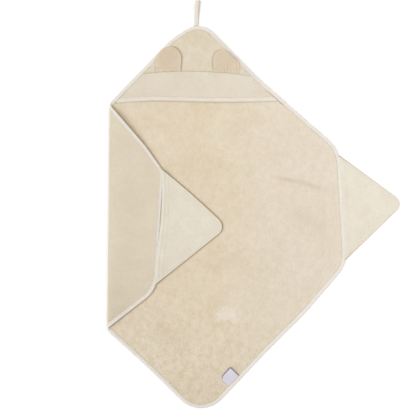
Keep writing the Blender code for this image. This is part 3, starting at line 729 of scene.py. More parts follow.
# Close cotton percale: the palest and smoothest cloth, a little darker at its inner edge.
BINDING_CLOTH = woven("cotton_binding", "#e3ddd8", "#e0dad4", "#d6cfc6", roughness=0.85, sheen=0.1,
                      slub=0.35, inner="#dfd8cb")
# The same percale, single over the muslin: slightly warmer.
HEM_CLOTH = woven("cotton_hem_binding", "#dfd6ca", "#dcd3c6", "#d2c7ba", roughness=0.85, sheen=0.1,
                  slub=0.35)
# Unbleached cotton, washed: the deepest tone, with soft threads and brown painted shade in folds.
EAR_MATERIAL = woven("cotton_ear_cloth", "#d8cab4", "#d3c3ac", "#c8b89e", "#7d6848", 1.4, slub=0.4)
# Woven tape: firm, pale and close.
TAPE_CLOTH = woven("cotton_tape", "#e0d9cf", "#dbd3c8", "#d0c7ba", "#8a7a5f", roughness=0.85,
                   sheen=0.1)
# Polyester satin: cool, dense and faintly shiny.
LABEL_SATIN = woven("polyester_label_satin", "#d6d1dc", "#d0ccd8", "#c5c0cc", "#5d5a63", 0.9,
                    roughness=0.5, sheen=0.05, slub=0.2)
# Spun thread in the binding's tone, a little smoother, so that each stitch has a soft light on it.
THREAD = woven("cotton_sewing_thread", "#e0d9cd", "#dcd4c7", "#d0c7b8", thread=0.6, roughness=0.7,
               sheen=0.1, slub=0.3)


def declare(nodes, size=None, net=None):
    """Hide the solids that a piece stands for.

    net is the flat drawing of a cut that isn't a rectangle, and size the cloth's flat size
    in millimetres; neither is used.
    """
    if net is not None:
        flat, (triangles, _) = net
        size = flat.max(axis=0) - flat.min(axis=0) if size is None else size
    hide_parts(*nodes)


# ======== the terry square

BODY_CELL = 4.3
BEND_CELL = 1.4  # across the fold, and the next along it
BEND_ROW = 4.0
BEND_REACH = 26.0  # how far past the fold's line the finer cells go
BEND_INSET = 18.0
BODY_ROWS = (9.9, 10.05, 10.5, 11.6, 13.6, 16.6)  # insets of the rows beside the binding
BESIDE_BINDING = 0.5  # how much higher the pile stands there
# Shares of the deep tone, where the cloth lies in soft shade
FLAP_SHADE = 0.55
FLAP_SHADE_REACH = 6.0
FOLD_FOOT_SHADE = 0.12
FOLD_ROUND_SHADE = (0.30, 0.12)
CREASE_SHADE = 0.07
BOTTOM_SHADE = 0.07
TUFT = 11.0
TUFT_DIP = 0.12
PATCH_DIP = 0.16
BODY_CREASES = (
    # x, y of one end, x, y of the other, bow, half width, height
    (28.0, 61.0, 200.0, 21.0, 7.0, 5.5, 2.8),
    (20.0, 118.0, 110.0, 112.0, 5.0, 6.0, 0.7),
    (-292.0, 190.0, -186.0, 200.0, 3.0, 4.5, 0.8),
    (60.0, -60.0, 190.0, -120.0, 10.0, 22.0, 1.2),
    (-120.0, -240.0, 20.0, -190.0, 12.0, 26.0, 1.1),
    (-300.0, -330.0, -190.0, -420.0, -9.0, 24.0, 1.2),
    (-60.0, 120.0, 60.0, 190.0, 8.0, 24.0, 0.9),
)


def under_flap(flat):
    """How deep in shade of the folded corner's edges the terry lies, for flat places."""
    start, stop = OUTLINE.before("left_lower", 360.0), OUTLINE.before("tip_left", 60.0)
    spots, _ = OUTLINE.at(OUTLINE.stretch(start, stop))
    edge = lay(at_level(spots, 0.0))[from_fold(spots)[0] > 0.0, :2]
    tip = lay(at_level(LEFT_BACK.rim(), 0.0))[:, :2]
    beside = np.minimum(from_rim(flat, edge, closed=False), from_rim(flat, tip))
    on_body = smooth(-from_fold(flat)[0] / 8.0)
    return FLAP_SHADE * (1.0 - smooth(beside / FLAP_SHADE_REACH)) * on_body


def pile_dips(flat, patch, seed, deepest):
    """How far the tops of the loops dip, tuft by tuft and over patches of a size."""
    dips = (TUFT_DIP * (1.0 - uneven(flat, TUFT, seed))
            + PATCH_DIP * (1.0 - uneven(flat, patch, seed + 1)))
    return np.clip(dips, 0.0, deepest)


def make_terry_square():
    """The body: looped face up, smooth back, pressed thin where the binding holds its rim."""
    rim = EDGE + EDGE_INWARDS * RIM_INSET
    low = -max(FOLD_RADIUS) - 2.0
    ups = np.arange(-260.0, FOLD_LENGTH + 220.0, BEND_ROW)
    outs = np.arange(low, BEND_REACH, BEND_CELL)
    fine = np.array([FOLD_FOOT + FOLD_OUT * out + FOLD_UP * up for up in ups for out in outs])
    fine = fine[from_rim(fine, rim) > BEND_INSET]

    def near_fold(flat):
        out, _ = from_fold(flat)
        return (out > low - 3.0) & (out < BEND_REACH + 2.0)

    insets = [inset - RIM_INSET for inset in BODY_ROWS]
    flat, net = fill_net(rim, insets, BODY_CELL, (near_fold, fine))
    inset = from_rim(flat, rim) + RIM_INSET
    full = smooth((inset - BINDING_WIDTH + 0.1) / 0.3)
    lift, troughs = creases(flat, BODY_CREASES)
    lift = lift * full
    lift = np.where(lift > 0.0, lift, 0.4 * lift)
    rim_low = BINDING_WALL + GAP
    beside = BESIDE_BINDING * full * bell(inset - BINDING_WIDTH, 3.0)
    face = TERRY - pile_dips(flat, 40.0, 3, 0.9) + beside
    over = blend(rim_low + TERRY_RIM, face, full) + lift
    under = rim_low * (1.0 - smooth((inset - BINDING_WIDTH + 0.1) / 0.15)) + np.maximum(lift, 0.0)
    # The fold's lower end lies a little in shade, and so do its rounded side and the bottom corner.
    out, up = from_fold(flat)
    shaded = FOLD_FOOT_SHADE * (2.0 - smooth(up / 240.0) - smooth(up / 80.0))
    angle = out / blend(*FOLD_RADIUS, up / FOLD_LENGTH) + 1.0
    rounded = blend(*FOLD_ROUND_SHADE, smooth(up / 400.0)) * bell(angle - 1.9, 0.5)
    in_creases = CREASE_SHADE * troughs * full
    at_bottom = BOTTOM_SHADE * smooth((-400.0 - flat[:, 1]) / 90.0)
    hollow = (under_flap(flat) + in_creases + at_bottom,
              np.maximum(smooth(out / 20.0) * shaded, rounded) + in_creases)
    piece = make_cloth("terry_square", flat, net, over, under, [TERRY_FACE, TERRY_BACK], hollow)
    declare(["body"], net=(flat, net))


# ======== the edge binding

BINDING_TOP = (
    # inset, how far below the top of the binding
    (10.0, 0.20), (9.7, 0.08), (9.2, 0.0), (8.8, 0.03), (8.4, 0.14), (8.0, 0.03), (7.2, 0.0),
    (5.4, -0.06), (3.2, -0.02), (1.7, 0.07), (0.9, 0.32), (0.4, 0.78), (0.1, 1.40),
)
# Painted shade that evens out how brightly the lamps light the strip on each side.
BINDING_SHADE = (
    # way round the cape, how much painted shade deepens the strip's tone there
    (0.0, 0.07), (60.0, 0.07), (110.0, 0.20), (230.0, 0.18), (270.0, 0.09), (480.0, 0.09),
    (600.0, 0.04), (800.0, 0.03), (880.0, 0.0), (1290.0, 0.0), (1360.0, 0.12), (1440.0, 0.07),
    (1840.0, 0.07), (2400.0, 0.06), (2690.0, 0.07),
)
BINDING_CELL = 2.2
BINDING_INSIDE = (9.9, 1.4)  # the insets of its inner sides, deep and shallow
STITCH_INSET = 8.4
STITCH_LINE = 0.2  # half the width of the stitched groove
# painted shade in the stitched groove
STITCH_SHADE = 0.03
HOOD_FROM = OUTLINE.before("tip_left", HOOD_LEFT)
HOOD_TO = OUTLINE.after("seam_right", HOOD_RIGHT) + OUTLINE.length


def edge_height(way):
    """The binding's height round the cape: more where it also holds the hood."""
    way = np.where(way < HOOD_FROM - 200.0, way + OUTLINE.length, way)
    on = smooth((way - HOOD_FROM + 3.0) / 8.0) * smooth((HOOD_TO - way + 3.0) / 8.0)
    return blend(EDGE_HEIGHT, HOOD_EDGE_HEIGHT, on)


def folded_section(top, height, inside):
    """A folded strip's section, as insets and levels.

    It goes from the lower inner edge round the rim to the upper one, and back along the cloth
    that the strip holds.
    """
    level = 0.0 * height
    deep, shallow = inside
    return ([(inset, level + max(drop, 0.0)) for inset, drop in top] + [(0.0, height / 2.0)]
            + [(inset, height - drop) for inset, drop in top[::-1]]
            + [(deep, height - BINDING_WALL), (shallow, height - BINDING_WALL),
               (BINDING_WALL + 0.15, height / 2.0), (shallow, level + BINDING_WALL),
               (deep, level + BINDING_WALL)])


def make_edge_binding():
    """The folded strip round the cape, puckered a little by its stitching."""
    ways = OUTLINE.round(BINDING_CELL)
    spots, inwards = OUTLINE.at(ways)
    height = edge_height(ways)
    wander = 0.16 * uneven(ways, 37.0, 8) + 0.06 * uneven(ways, 8.0, 9)
    puckers = 0.10 * uneven(ways, 7.0, 10) + 0.06 * uneven(ways, 15.0, 11)
    side_shade = np.interp(ways, *np.array(BINDING_SHADE).T)
    rim = len(BINDING_TOP)
    sections, drawing, hollow = [], [], []
    for row, (inset, level) in enumerate(folded_section(BINDING_TOP, height, BINDING_INSIDE)):
        outside = row <= 2 * rim
        where = inset + outside * wander * min(inset / BINDING_WIDTH, 1.0) ** 3
        if rim < row <= 2 * rim:
            level = level + puckers * math.sin(math.pi * min(inset / STITCH_INSET, 1.0))
        sections.append(lay(at_level(spots + inwards * where[:, None], level)))
        drawing.append(np.column_stack((ways, -where if row > rim else where)))
        # Painted shade: the strip's share for its side, and more in the stitched groove.
        stitched = outside & (np.abs(where - STITCH_INSET) < STITCH_LINE)
        hollow.append(side_shade + STITCH_SHADE * stitched)
    piece = make_strip("edge_binding", sections, drawing, BINDING_CLOTH, hollow, True)
    middles = np.arange(STITCH / 2.0, OUTLINE.length, STITCH)
    spots, inwards = OUTLINE.at(middles)
    along = at_level(np.column_stack((inwards[:, 1], -inwards[:, 0])), 0.0)
    spots = spots + inwards * (STITCH_INSET + 0.10 * uneven(middles, 21.0, 12))[:, None]
    face, back = at_level(spots, edge_height(middles) - 0.28), at_level(spots, 0.10)
    threads = [make_stitches("edge_stitches_face", face, along, UP),
               make_stitches("edge_stitches_back", back, along, -UP, sunk=0.18)]
    nodes = ["binding_hood", "binding_upper_right", "binding_right_end", "binding_lower_right",
             "binding_lower_left", "binding_left_end", "binding_upper_left"]
    declare(nodes,
            (2.0 * BINDING_WIDTH + EDGE_HEIGHT, OUTLINE.length))


# ======== the hood

HOOD_CELL = 4.0
HOOD_ROWS = (0.8, 1.8, 3.2, 5.0, 8.6, 8.75, 9.3, 10.6)
# painted shade along the cross seam
SEAM_SHADE = 0.02
HOOD_SIDES = [OUTLINE.at(OUTLINE.stretch(start, stop)) for start, stop in (
    (OUTLINE.before("tip_left", HOOD_LEFT + 40.0), OUTLINE.mark("tip")),
    (OUTLINE.mark("tip"), OUTLINE.after("seam_right", HOOD_RIGHT + 40.0)))]
HOOD_EDGES = [OUTLINE.at(way) for way in (OUTLINE.before("tip_left", HOOD_LEFT / 2.0),
                                          OUTLINE.before("seam_right", HOOD_RIGHT / 2.0),
                                          OUTLINE.after("seam_right", HOOD_RIGHT / 2.0))]


def seam_y(x):
    """The hood's cross seam."""
    return SEAM_TOP[1] - SEAM_BOW * (x - SEAM_TOP[0]) ** 2


def hem_y(x):
    """The lower edge of the hood's hem binding."""
    return read_curve(HEM_LINE, x, level_ends=False)[0]


def meet_edges(inset, line, sides=(0, 1)):
    """The x where a line across the hood, y = line(x), meets the outline's inset on each side."""
    found = []
    for spots, inwards in (HOOD_SIDES[side] for side in sides):
        points = spots + inwards * inset
        above = points[:, 1] - line(points[:, 0])
        cell = int(np.argmax(above[:-1] * above[1:] <= 0.0))
        share = above[cell] / (above[cell] - above[cell + 1])
        found.append(float(blend(points[cell, 0], points[cell + 1, 0], share)))
    return found


def mouth_lift(flat):
    """How far the hood's band stands off the body, most at the middle of its hem."""
    x, y = flat[:, 0], flat[:, 1]
    hem = hem_y(x)
    up = y - hem
    flat_hem = HEM_WIDTH + 1.0
    above_hem = np.clip((up - flat_hem) / (MOUTH_DEPTH[0] - flat_hem), 0.0, 1.0)
    eased = np.column_stack((x, hem + np.maximum(up, MOUTH_DEPTH[0]) * above_hem))
    inset = np.min([(eased - spot) @ inward for spot, inward in HOOD_EDGES], axis=0)
    across = smooth((inset - MOUTH_EASE[0]) / (MOUTH_EASE[1] - MOUTH_EASE[0]))
    along = 1.0 - smooth((up - MOUTH_DEPTH[0]) / (MOUTH_DEPTH[1] - MOUTH_DEPTH[0]))
    return MOUTH_LIFT * across * along


def hood_face(flat, inset):
    """The level of the hood tip's face, pressed thin at the seam and in the binding."""
    at_seam = smooth((flat[:, 1] - seam_y(flat[:, 0]) + 0.4) / 4.0)
    full = smooth((inset - BINDING_WIDTH - 0.1) / 0.6) * at_seam
    # The pile stands flush with the binding beside it, and rises from there.
    pressed = 0.9 * (1.0 - smooth((inset - BINDING_WIDTH) / 6.0))
    return HOOD_UNDER + blend(HOOD_RIM, TERRY - pile_dips(flat, 35.0, 5, 0.8) - pressed, full)


def make_hood_tip():
    """The hood's terry tip."""
    def foot_y(x):
        return seam_y(x) + GAP / 2.0

    ways = OUTLINE.stretch(OUTLINE.arcs["tip_left"][0], OUTLINE.arcs["tip"][1])
    spots, inwards = OUTLINE.at(ways)
    edge = spots + inwards * RIM_INSET
    edge = edge[edge[:, 1] > seam_y(edge[:, 0]) + 2.0]
    left, right = meet_edges(RIM_INSET, foot_y)
    foot = np.linspace(right, left, 100)
    rim = np.vstack((edge, np.column_stack((foot, foot_y(foot)))))
    flat, net = fill_net(rim, HOOD_ROWS, HOOD_CELL)
    above = flat[:, 1] - seam_y(flat[:, 0])
    # Painted shade just above the cross seam.
    hollow = SEAM_SHADE * (1.0 - smooth((above - 0.3) / 1.5))
    piece = make_cloth("hood_terry", flat, net, hood_face(flat, inset_of(flat)), HOOD_UNDER,
                       [TERRY_HOOD, TERRY_BACK], hollow)
    declare(["hood_tip"], net=(flat, net))


BAND_ROWS = 30
BAND_COLUMNS = 190
SEAM_PUCKER = 0.22
HEM_PUCKER = 0.20
BAND_ROLL = 0.6  # how far the band rises from its seams
BAND_FLAT = 22.8  # how far the band's even rows go up from its tucked edge
BAND_WRINKLES = (
    (-330.0, 292.0, -250.0, 330.0, 2.0, 6.0, 0.5),
    (-60.0, 300.0, 30.0, 292.0, -3.0, 8.0, 0.5),
    (-190.0, 318.0, -90.0, 310.0, 3.0, 9.0, 0.4),
    (-20.0, 330.0, 20.0, 300.0, 1.5, 5.0, 0.4),
)


def band_net():
    """The band's flat points, row after row from inside the hem binding up to the cross seam."""
    shares = np.linspace(0.0, 1.0, BAND_COLUMNS)
    rises = [(rise, 0.0) for rise in np.linspace(0.0, BAND_FLAT, 12)]
    rises += [(BAND_FLAT, share) for share in np.linspace(0.0, 1.0, BAND_ROWS - 11)[1:]]
    rises += [(BAND_FLAT, share) for share in (0.985, 0.97)]
    rows = []
    for rise, share in sorted(rises):
        def line(x, rise=rise, share=share):
            return blend(hem_y(x) + HEM_TUCK + rise, seam_y(x) - GAP / 2.0, share)

        ends = []
        for side, x in enumerate(meet_edges(HEM_END_INSET, line)):
            under = smooth((line(x) - hem_y(x) - SIDE_TUCK[0]) / (SIDE_TUCK[1] - SIDE_TUCK[0]))
            ends += meet_edges(blend(HEM_END_INSET, RIM_INSET, under), line, (side,))
        x = blend(*ends, shares)
        rows.append(np.column_stack((x, line(x))))
    return np.vstack(rows), grid_net(len(rows), BAND_COLUMNS)


def make_hood_band():
    """The muslin band between the cross seam and the hem binding, lifted at the hood's mouth."""
    flat, net = band_net()
    up = flat[:, 1] - hem_y(flat[:, 0])
    below_seam = seam_y(flat[:, 0]) - flat[:, 1]
    from_binding = inset_of(flat) - BINDING_WIDTH
    into_hem = 1.0 - smooth((up - HEM_WIDTH) / (SIDE_TUCK[0] - HEM_WIDTH))
    level = HOOD_UNDER + HEM_SLOT * into_hem + mouth_lift(flat)
    free = (smooth((from_binding - 1.0) / 6.0) * smooth((up - HEM_WIDTH - 0.5) / 5.0)
            * smooth(below_seam / 4.0))
    puckers = SEAM_PUCKER * uneven(flat[:, 0], 9.0, 15) * np.exp(-below_seam / 7.0)
    puckers += HEM_PUCKER * uneven(flat[:, 0], 12.0, 16) * np.exp(-(up - HEM_WIDTH) / 8.0)
    wave = 0.45 * uneven(flat, 55.0, 17) + 0.25 + creases(flat, BAND_WRINKLES)[0] + puckers
    roll = (BAND_ROLL * smooth(below_seam / 5.0) * smooth(from_binding / 5.0)
            * smooth((up - HEM_WIDTH + 0.3) / 2.5))
    beside = (BAND_ROLL * smooth((from_binding - 0.1) / 0.5)
              * (1.0 - smooth((from_binding - 1.0) / 5.0)) * smooth(below_seam / 3.0))
    over = level + MUSLIN + free * np.clip(wave, -0.3, 2.0) + roll + beside
    under = level + free * np.clip(wave, 0.0, 2.0) + roll
    # Painted shade just below the cross seam.
    hollow = SEAM_SHADE * (1.0 - smooth((below_seam - 0.2) / 1.2))
    piece = make_cloth("hood_muslin", flat, net, over, under, [HOOD_MUSLIN], hollow)
    declare(["hood_band"], net=(flat, net))


HEM_TOP = (
    # inset, how far below the top of the hem binding
    (11.0, 0.22), (10.7, 0.07), (10.2, 0.0), (9.8, 0.03), (9.4, 0.12), (9.0, 0.03), (8.0, 0.0),
    (5.5, -0.08), (3.4, -0.02), (2.0, 0.10), (1.0, 0.32), (0.4, 0.70), (0.1, 1.10),
)
HEM_INSIDE = (10.9, 1.3)
HEM_COLUMNS = 220
HEM_STITCH_INSET = 9.4
# painted shade in the hem binding's stitched groove
HEM_SHADE = 0.02


def hem_ripple(x):
    """How the hem binding's upper side ripples along it."""
    return 0.06 * uneven(x, 13.0, 21) + 0.15 * uneven(x, 70.0, 22)


def make_hem_binding():
    """The strip folded over the band's lower edge, with its stitching."""
    height = 2.0 * HEM_SLOT + MUSLIN
    sections, drawing, hollow = [], [], []
    for inset, level in folded_section(HEM_TOP, height, HEM_INSIDE):
        ends = meet_edges(HEM_END_INSET, lambda x, inset=inset: hem_y(x) + inset)
        x = np.linspace(*ends, HEM_COLUMNS)
        lift = mouth_lift(np.column_stack((x, hem_y(x))))
        lift -= (lift * 0.7 + level * 0.3) * (1.0 - smooth(inset / 5.0))
        ripple = hem_ripple(x) * (level > height / 2.0)
        sections.append(lay(np.column_stack((x, hem_y(x) + inset,
                                             HOOD_UNDER + level + lift + ripple))))
        drawing.append(at_level(x, inset))
        stitched = abs(inset - HEM_STITCH_INSET) < STITCH_LINE
        hollow.append(np.full(HEM_COLUMNS, HEM_SHADE * stitched))
    piece = make_strip("hem_binding", sections, drawing, HEM_CLOTH, hollow)
    ends = meet_edges(HEM_END_INSET + 3.0, lambda x: hem_y(x) + HEM_STITCH_INSET)
    x = np.arange(*ends, STITCH)
    slope = read_curve(HEM_LINE, x, level_ends=False)[1]
    along = unit(np.column_stack((np.ones(len(x)), slope, np.zeros(len(x)))))
    level = HOOD_UNDER + height + mouth_lift(np.column_stack((x, hem_y(x)))) + hem_ripple(x) - 0.24
    middles = np.column_stack((x, hem_y(x) + HEM_STITCH_INSET, level))
    threads = make_stitches("hem_stitches", middles, along, UP)
    length = max(row[:, 0].max() for row in drawing) - min(row[:, 0].min() for row in drawing)
    declare(["hood_hem_binding"],
            (2.0 * HEM_WIDTH + height, float(length)))


# ======== the ears

EAR_PLEATS = {
    # x from the ear's middle at its foot, x at the pleat's top, height, half width, depth
    "left_ear": ((-33.0, -29.0, 34.0, 1.6, 0.5), (-25.0, -22.0, 30.0, 1.5, 0.4),
                 (-9.0, -7.0, 18.0, 1.6, 0.3), (12.0, 12.0, 14.0, 1.6, 0.25)),
    "right_ear": ((-22.0, -22.0, 20.0, 1.6, 0.3), (-4.0, -7.0, 38.0, 1.5, 0.45),
                  (4.0, 1.0, 42.0, 1.5, 0.45), (12.0, 8.0, 34.0, 1.5, 0.4),
                  (22.0, 17.0, 26.0, 1.6, 0.35), (30.0, 24.0, 40.0, 1.6, 0.5)),
}
EAR_CELL = 2.6
EAR_ROWS = (0.25, 0.7, 1.3, 2.1, 3.1)
EAR_SIDE_POINTS = 12
EAR_GROOVE = 3.4  # the pressed line inside the rim, and its depth
EAR_GROOVE_DEPTH = 0.32
EAR_SWELL = 0.9
EAR_SEWN_THIN = 0.62  # shares of its thickness at the foot and on its flat side
EAR_FLAT_THIN = 0.35
# painted shade near the top of the arch, and over its middle, which leaves the rolled rim looking
# lit
EAR_TOP_SHADE = 0.24
EAR_INSIDE_SHADE = 0.13


def make_ear(name, node, middle, width, height, lean, turn, shade):
    """A turned two-layer arch, sewn into the cross seam, its inner side just off the hood."""
    half, straight = width / 2.0, height * EAR_STRAIGHT
    arch = np.linspace(0.0, math.pi, 60)
    sides = np.linspace(0.0, straight, EAR_SIDE_POINTS, endpoint=False)
    foot = np.linspace(half, -half, 34)[1:-1]
    top = straight + (height - straight) * np.sin(arch)
    upright = np.full(EAR_SIDE_POINTS, half)
    drawn = np.column_stack((
        np.concatenate((-upright, -half * np.cos(arch), upright, foot)),
        np.concatenate((sides, top, sides[::-1], 0.0 * foot))))
    flat, net = fill_net(drawn, EAR_ROWS, EAR_CELL)
    apart = from_rim(flat, drawn)
    x, up = flat[:, 0], flat[:, 1]
    leaned = np.column_stack((x + lean * (up / height) ** 2, up))
    places = (middle, seam_y(middle) + EAR_FOOT) + turned(leaned, math.radians(turn))
    for spot, inward in HOOD_EDGES:
        over_edge = np.maximum(EAR_INSET + apart * 0.15 - (places - spot) @ inward, 0.0)
        places = places + over_edge[:, None] * inward
    # The side towards the other ear stands a little open. The other side lies flat and thin.
    inner_side = smooth((math.copysign(1.0, EARS_APART - middle) * x / half + 0.1) / 0.4)
    flat_side = (1.0 - inner_side) * (1.0 - smooth(apart / 9.0))
    round_rim = np.sqrt(1.0 - (1.0 - np.clip(apart / 0.95, 0.0, 1.0)) ** 2)
    at_foot = 1.0 - smooth(up / 5.0)
    half_thick = (EAR_CLOTH / 2.0 * blend(1.0, EAR_SEWN_THIN, at_foot)
                  * blend(1.0, EAR_FLAT_THIN, flat_side))
    pleats = np.zeros(len(flat))
    for low_x, high_x, reach, wide, deep in EAR_PLEATS[name]:
        off = x - blend(low_x, high_x, up / reach)
        fade = deep * smooth(1.0 - up / reach)
        pleats += fade * (0.4 * bell(off - 1.9 * wide, wide) - bell(off, wide))
    groove = bell(apart - EAR_GROOVE, 0.9) * smooth((up - 2.0) / 4.0) * inner_side
    swell = EAR_SWELL * smooth(apart / 16.0) * smooth(up / 12.0)
    # At its foot the ear dips with the terry into the seam, and past that it lies on the terry.
    face = hood_face(places, np.maximum(inset_of(places), 12.0))
    base = blend(face + 0.15, HOOD_UNDER + TERRY + GAP, smooth((up - 2.0) / 6.0))
    level = base + 0.5 * smooth(up / 14.0) * (1.0 - flat_side) + half_thick
    over = level + round_rim * (half_thick + swell - EAR_GROOVE_DEPTH * groove)
    over += np.clip(pleats, -0.9, 0.6) * smooth(apart / 2.0) * smooth((up + 1.0) / 3.0)
    under = level - round_rim * half_thick
    # Painted shade: along the rim of the open side, near the top, a little over the middle so that
    # the rolled rim looks lit, and in the pleats' troughs.
    at_rim = shade * inner_side * (1.0 - smooth((apart - 0.6) / 1.8)) * smooth((up - 1.5) / 4.0)
    at_top = smooth((up / height - 0.6) / 0.25) * (1.0 - smooth((apart - 3.0) / 8.0))
    inside = smooth((apart - 4.6) / 2.0) * smooth(up / 10.0)
    hollow = np.max((at_rim, EAR_TOP_SHADE * shade * at_top, EAR_INSIDE_SHADE * inside,
                     np.clip(-pleats * 0.7, 0.0, 0.35)), axis=0)
    piece = make_cloth(name, places, net, over, under, [EAR_MATERIAL], hollow)
    declare([node], (width + 0.4, height + 0.4),
            (flat, net))


# ======== the gloves

GLOVE_HEM = 9.0
GLOVE_SEAM = 5.0
GLOVE_LENGTH = 150.0  # about, from the base to the tip
BASE_POINTS = 160
GLOVE_SWELL = 1.6
GLOVE_UNEVEN = 0.45
SEAM_THICKER = 0.22  # the allowance inside a seam, and its share in the hem
HEM_THICKER = 0.35
SIDE_PUCKER = 0.16
# painted shade beside the side seams, along the hem and at the side rims
GLOVE_SEAM_SHADE = 0.10
GLOVE_HEM_SHADE = 0.02
GLOVE_RIM_SHADE = 0.25
HEM_STITCHES = ((8.0, 0.2), (18.0, 0.0))  # from the edge, and how far off the cloth


class Glove:
    """One glove: where a share of the way across and along its panel lies."""

    def __init__(self, corners, sides, tip, off, opened=0.0, bow=0.0):
        start, stop = (OUTLINE.mark(corner) + side for corner, side in zip(corners, sides))
        spots, inwards = OUTLINE.at(OUTLINE.stretch(start, stop, 2.0))
        self.roots = spots - inwards * off
        steps = np.linalg.norm(np.diff(self.roots, axis=0), axis=1)
        self.base = float(steps.sum())
        self.shares = np.concatenate(((0.0,), np.cumsum(steps) / steps.sum()))
        self.opened = opened
        self.bow = bow
        side_a, side_b = unit(self.roots[0] - tip), unit(self.roots[-1] - tip)
        half = math.acos(float(side_a @ side_b)) / 2.0
        self.centre = tip + unit(side_a + side_b) * (GLOVE_TIP_RADIUS / math.sin(half))
        self.start = tip + side_a * (GLOVE_TIP_RADIUS / math.tan(half)) - self.centre
        cross = side_a[0] * side_b[1] - side_a[1] * side_b[0]
        self.turn = (math.pi - 2.0 * half) * (1.0 if cross > 0.0 else -1.0)

    def spot(self, a, b):
        """The flat places at shares a across the base and b towards the tip, and the hump there."""
        root = np.column_stack([np.interp(a, self.shares, self.roots[:, axis])
                                for axis in (0, 1)])
        end = self.centre + turned(np.broadcast_to(self.start, (len(a), 2)), -self.turn * a)
        along = unit(end - root)
        root = root + along * (self.opened * read_curve(MOUTH_PULL, a)[0])[:, None]
        hump = self.opened * read_curve(MOUTH_ARCH, a)[0] * (1.0 - smooth(b / MOUTH_ARCH_END))
        bowed = self.bow * smooth((a - 0.6) / 0.4) * 4.0 * b * (1.0 - b)
        aside = np.column_stack((along[:, 1], -along[:, 0])) * bowed[:, None]
        return blend(root, end, b[:, None]) + aside, hump

    def rim(self):
        """The panel's edge, walked round from the lower end of its base."""
        shares = np.linspace(0.0, 1.0, BASE_POINTS)
        sides = np.linspace(0.0, 1.0, 60)[1:-1]
        rows = ((shares, 0.0 * shares), (0.0 * sides + 1.0, sides),
                (shares[::-1], 0.0 * shares + 1.0), (0.0 * sides, sides[::-1]))
        return np.vstack([self.spot(a, b)[0] for a, b in rows])


def close_ends(count, first):
    """Shares from 0 to 1 with a few extra close to both ends, for a rounded rim."""
    close = np.array((0.0, 0.25, 0.6, 1.1, 1.9, 3.2, 4.6, 5.8)) * first
    middle = np.linspace(close[-1], 1.0 - close[-1], count)[1:-1]
    return np.concatenate((close, middle, 1.0 - close[::-1]))


RIGHT_GLOVE = (("right_upper", "right_lower"), RIGHT_GLOVE_SIDES, np.array(RIGHT_GLOVE_TIP))
LEFT_CORNERS = ("left_lower", "left_upper")
LEFT_BACK = Glove(LEFT_CORNERS, LEFT_GLOVE_SIDES, np.array(LEFT_GLOVE_TIP), -LEFT_BACK_ON, 1.0,
                  LEFT_GLOVE_BOW)
LEFT_FRONT = Glove(LEFT_CORNERS, LEFT_FRONT_SIDES, np.array(LEFT_GLOVE_TIP), GAP)
RIGHT_WAVES = (
    (250.0, 40.0, 352.0, 12.0, 5.0, 11.0, 0.7),
    (248.0, -70.0, 330.0, -22.0, -6.0, 13.0, 0.8),
    (256.0, 92.0, 300.0, 56.0, 3.0, 8.0, 0.5),
)
LEFT_WAVES = (
    (-560.0, -62.0, -640.0, -40.0, 4.0, 9.0, -0.9),
    (-556.0, 30.0, -624.0, 6.0, -5.0, 12.0, -0.8),
    (-548.0, -120.0, -600.0, -84.0, 5.0, 10.0, -0.7),
)
PANELS = (
    # side, panel, drawing, level of its lower side, which way its outer side faces in the flat
    # drawing, waves, how much it swells, how far its base comes up to lie on the binding's edge,
    # and how far from there it takes to come down
    ("right", "front", Glove(*RIGHT_GLOVE, -RIGHT_FRONT_ON), MUSLIN + GAP, 1, RIGHT_WAVES,
     1.0, 2.0, 20.0),
    ("right", "back", Glove(*RIGHT_GLOVE, MOUTH_SET_BACK), 0.55, -1, (), 0.0, 0.0, 20.0),
    ("left", "front", LEFT_FRONT, 2.0 + GAP, 1, (), 1.0, 0.0, 20.0),
    ("left", "back", LEFT_BACK, 1.0, -1, LEFT_WAVES, 1.0, 1.85, 45.0),
)


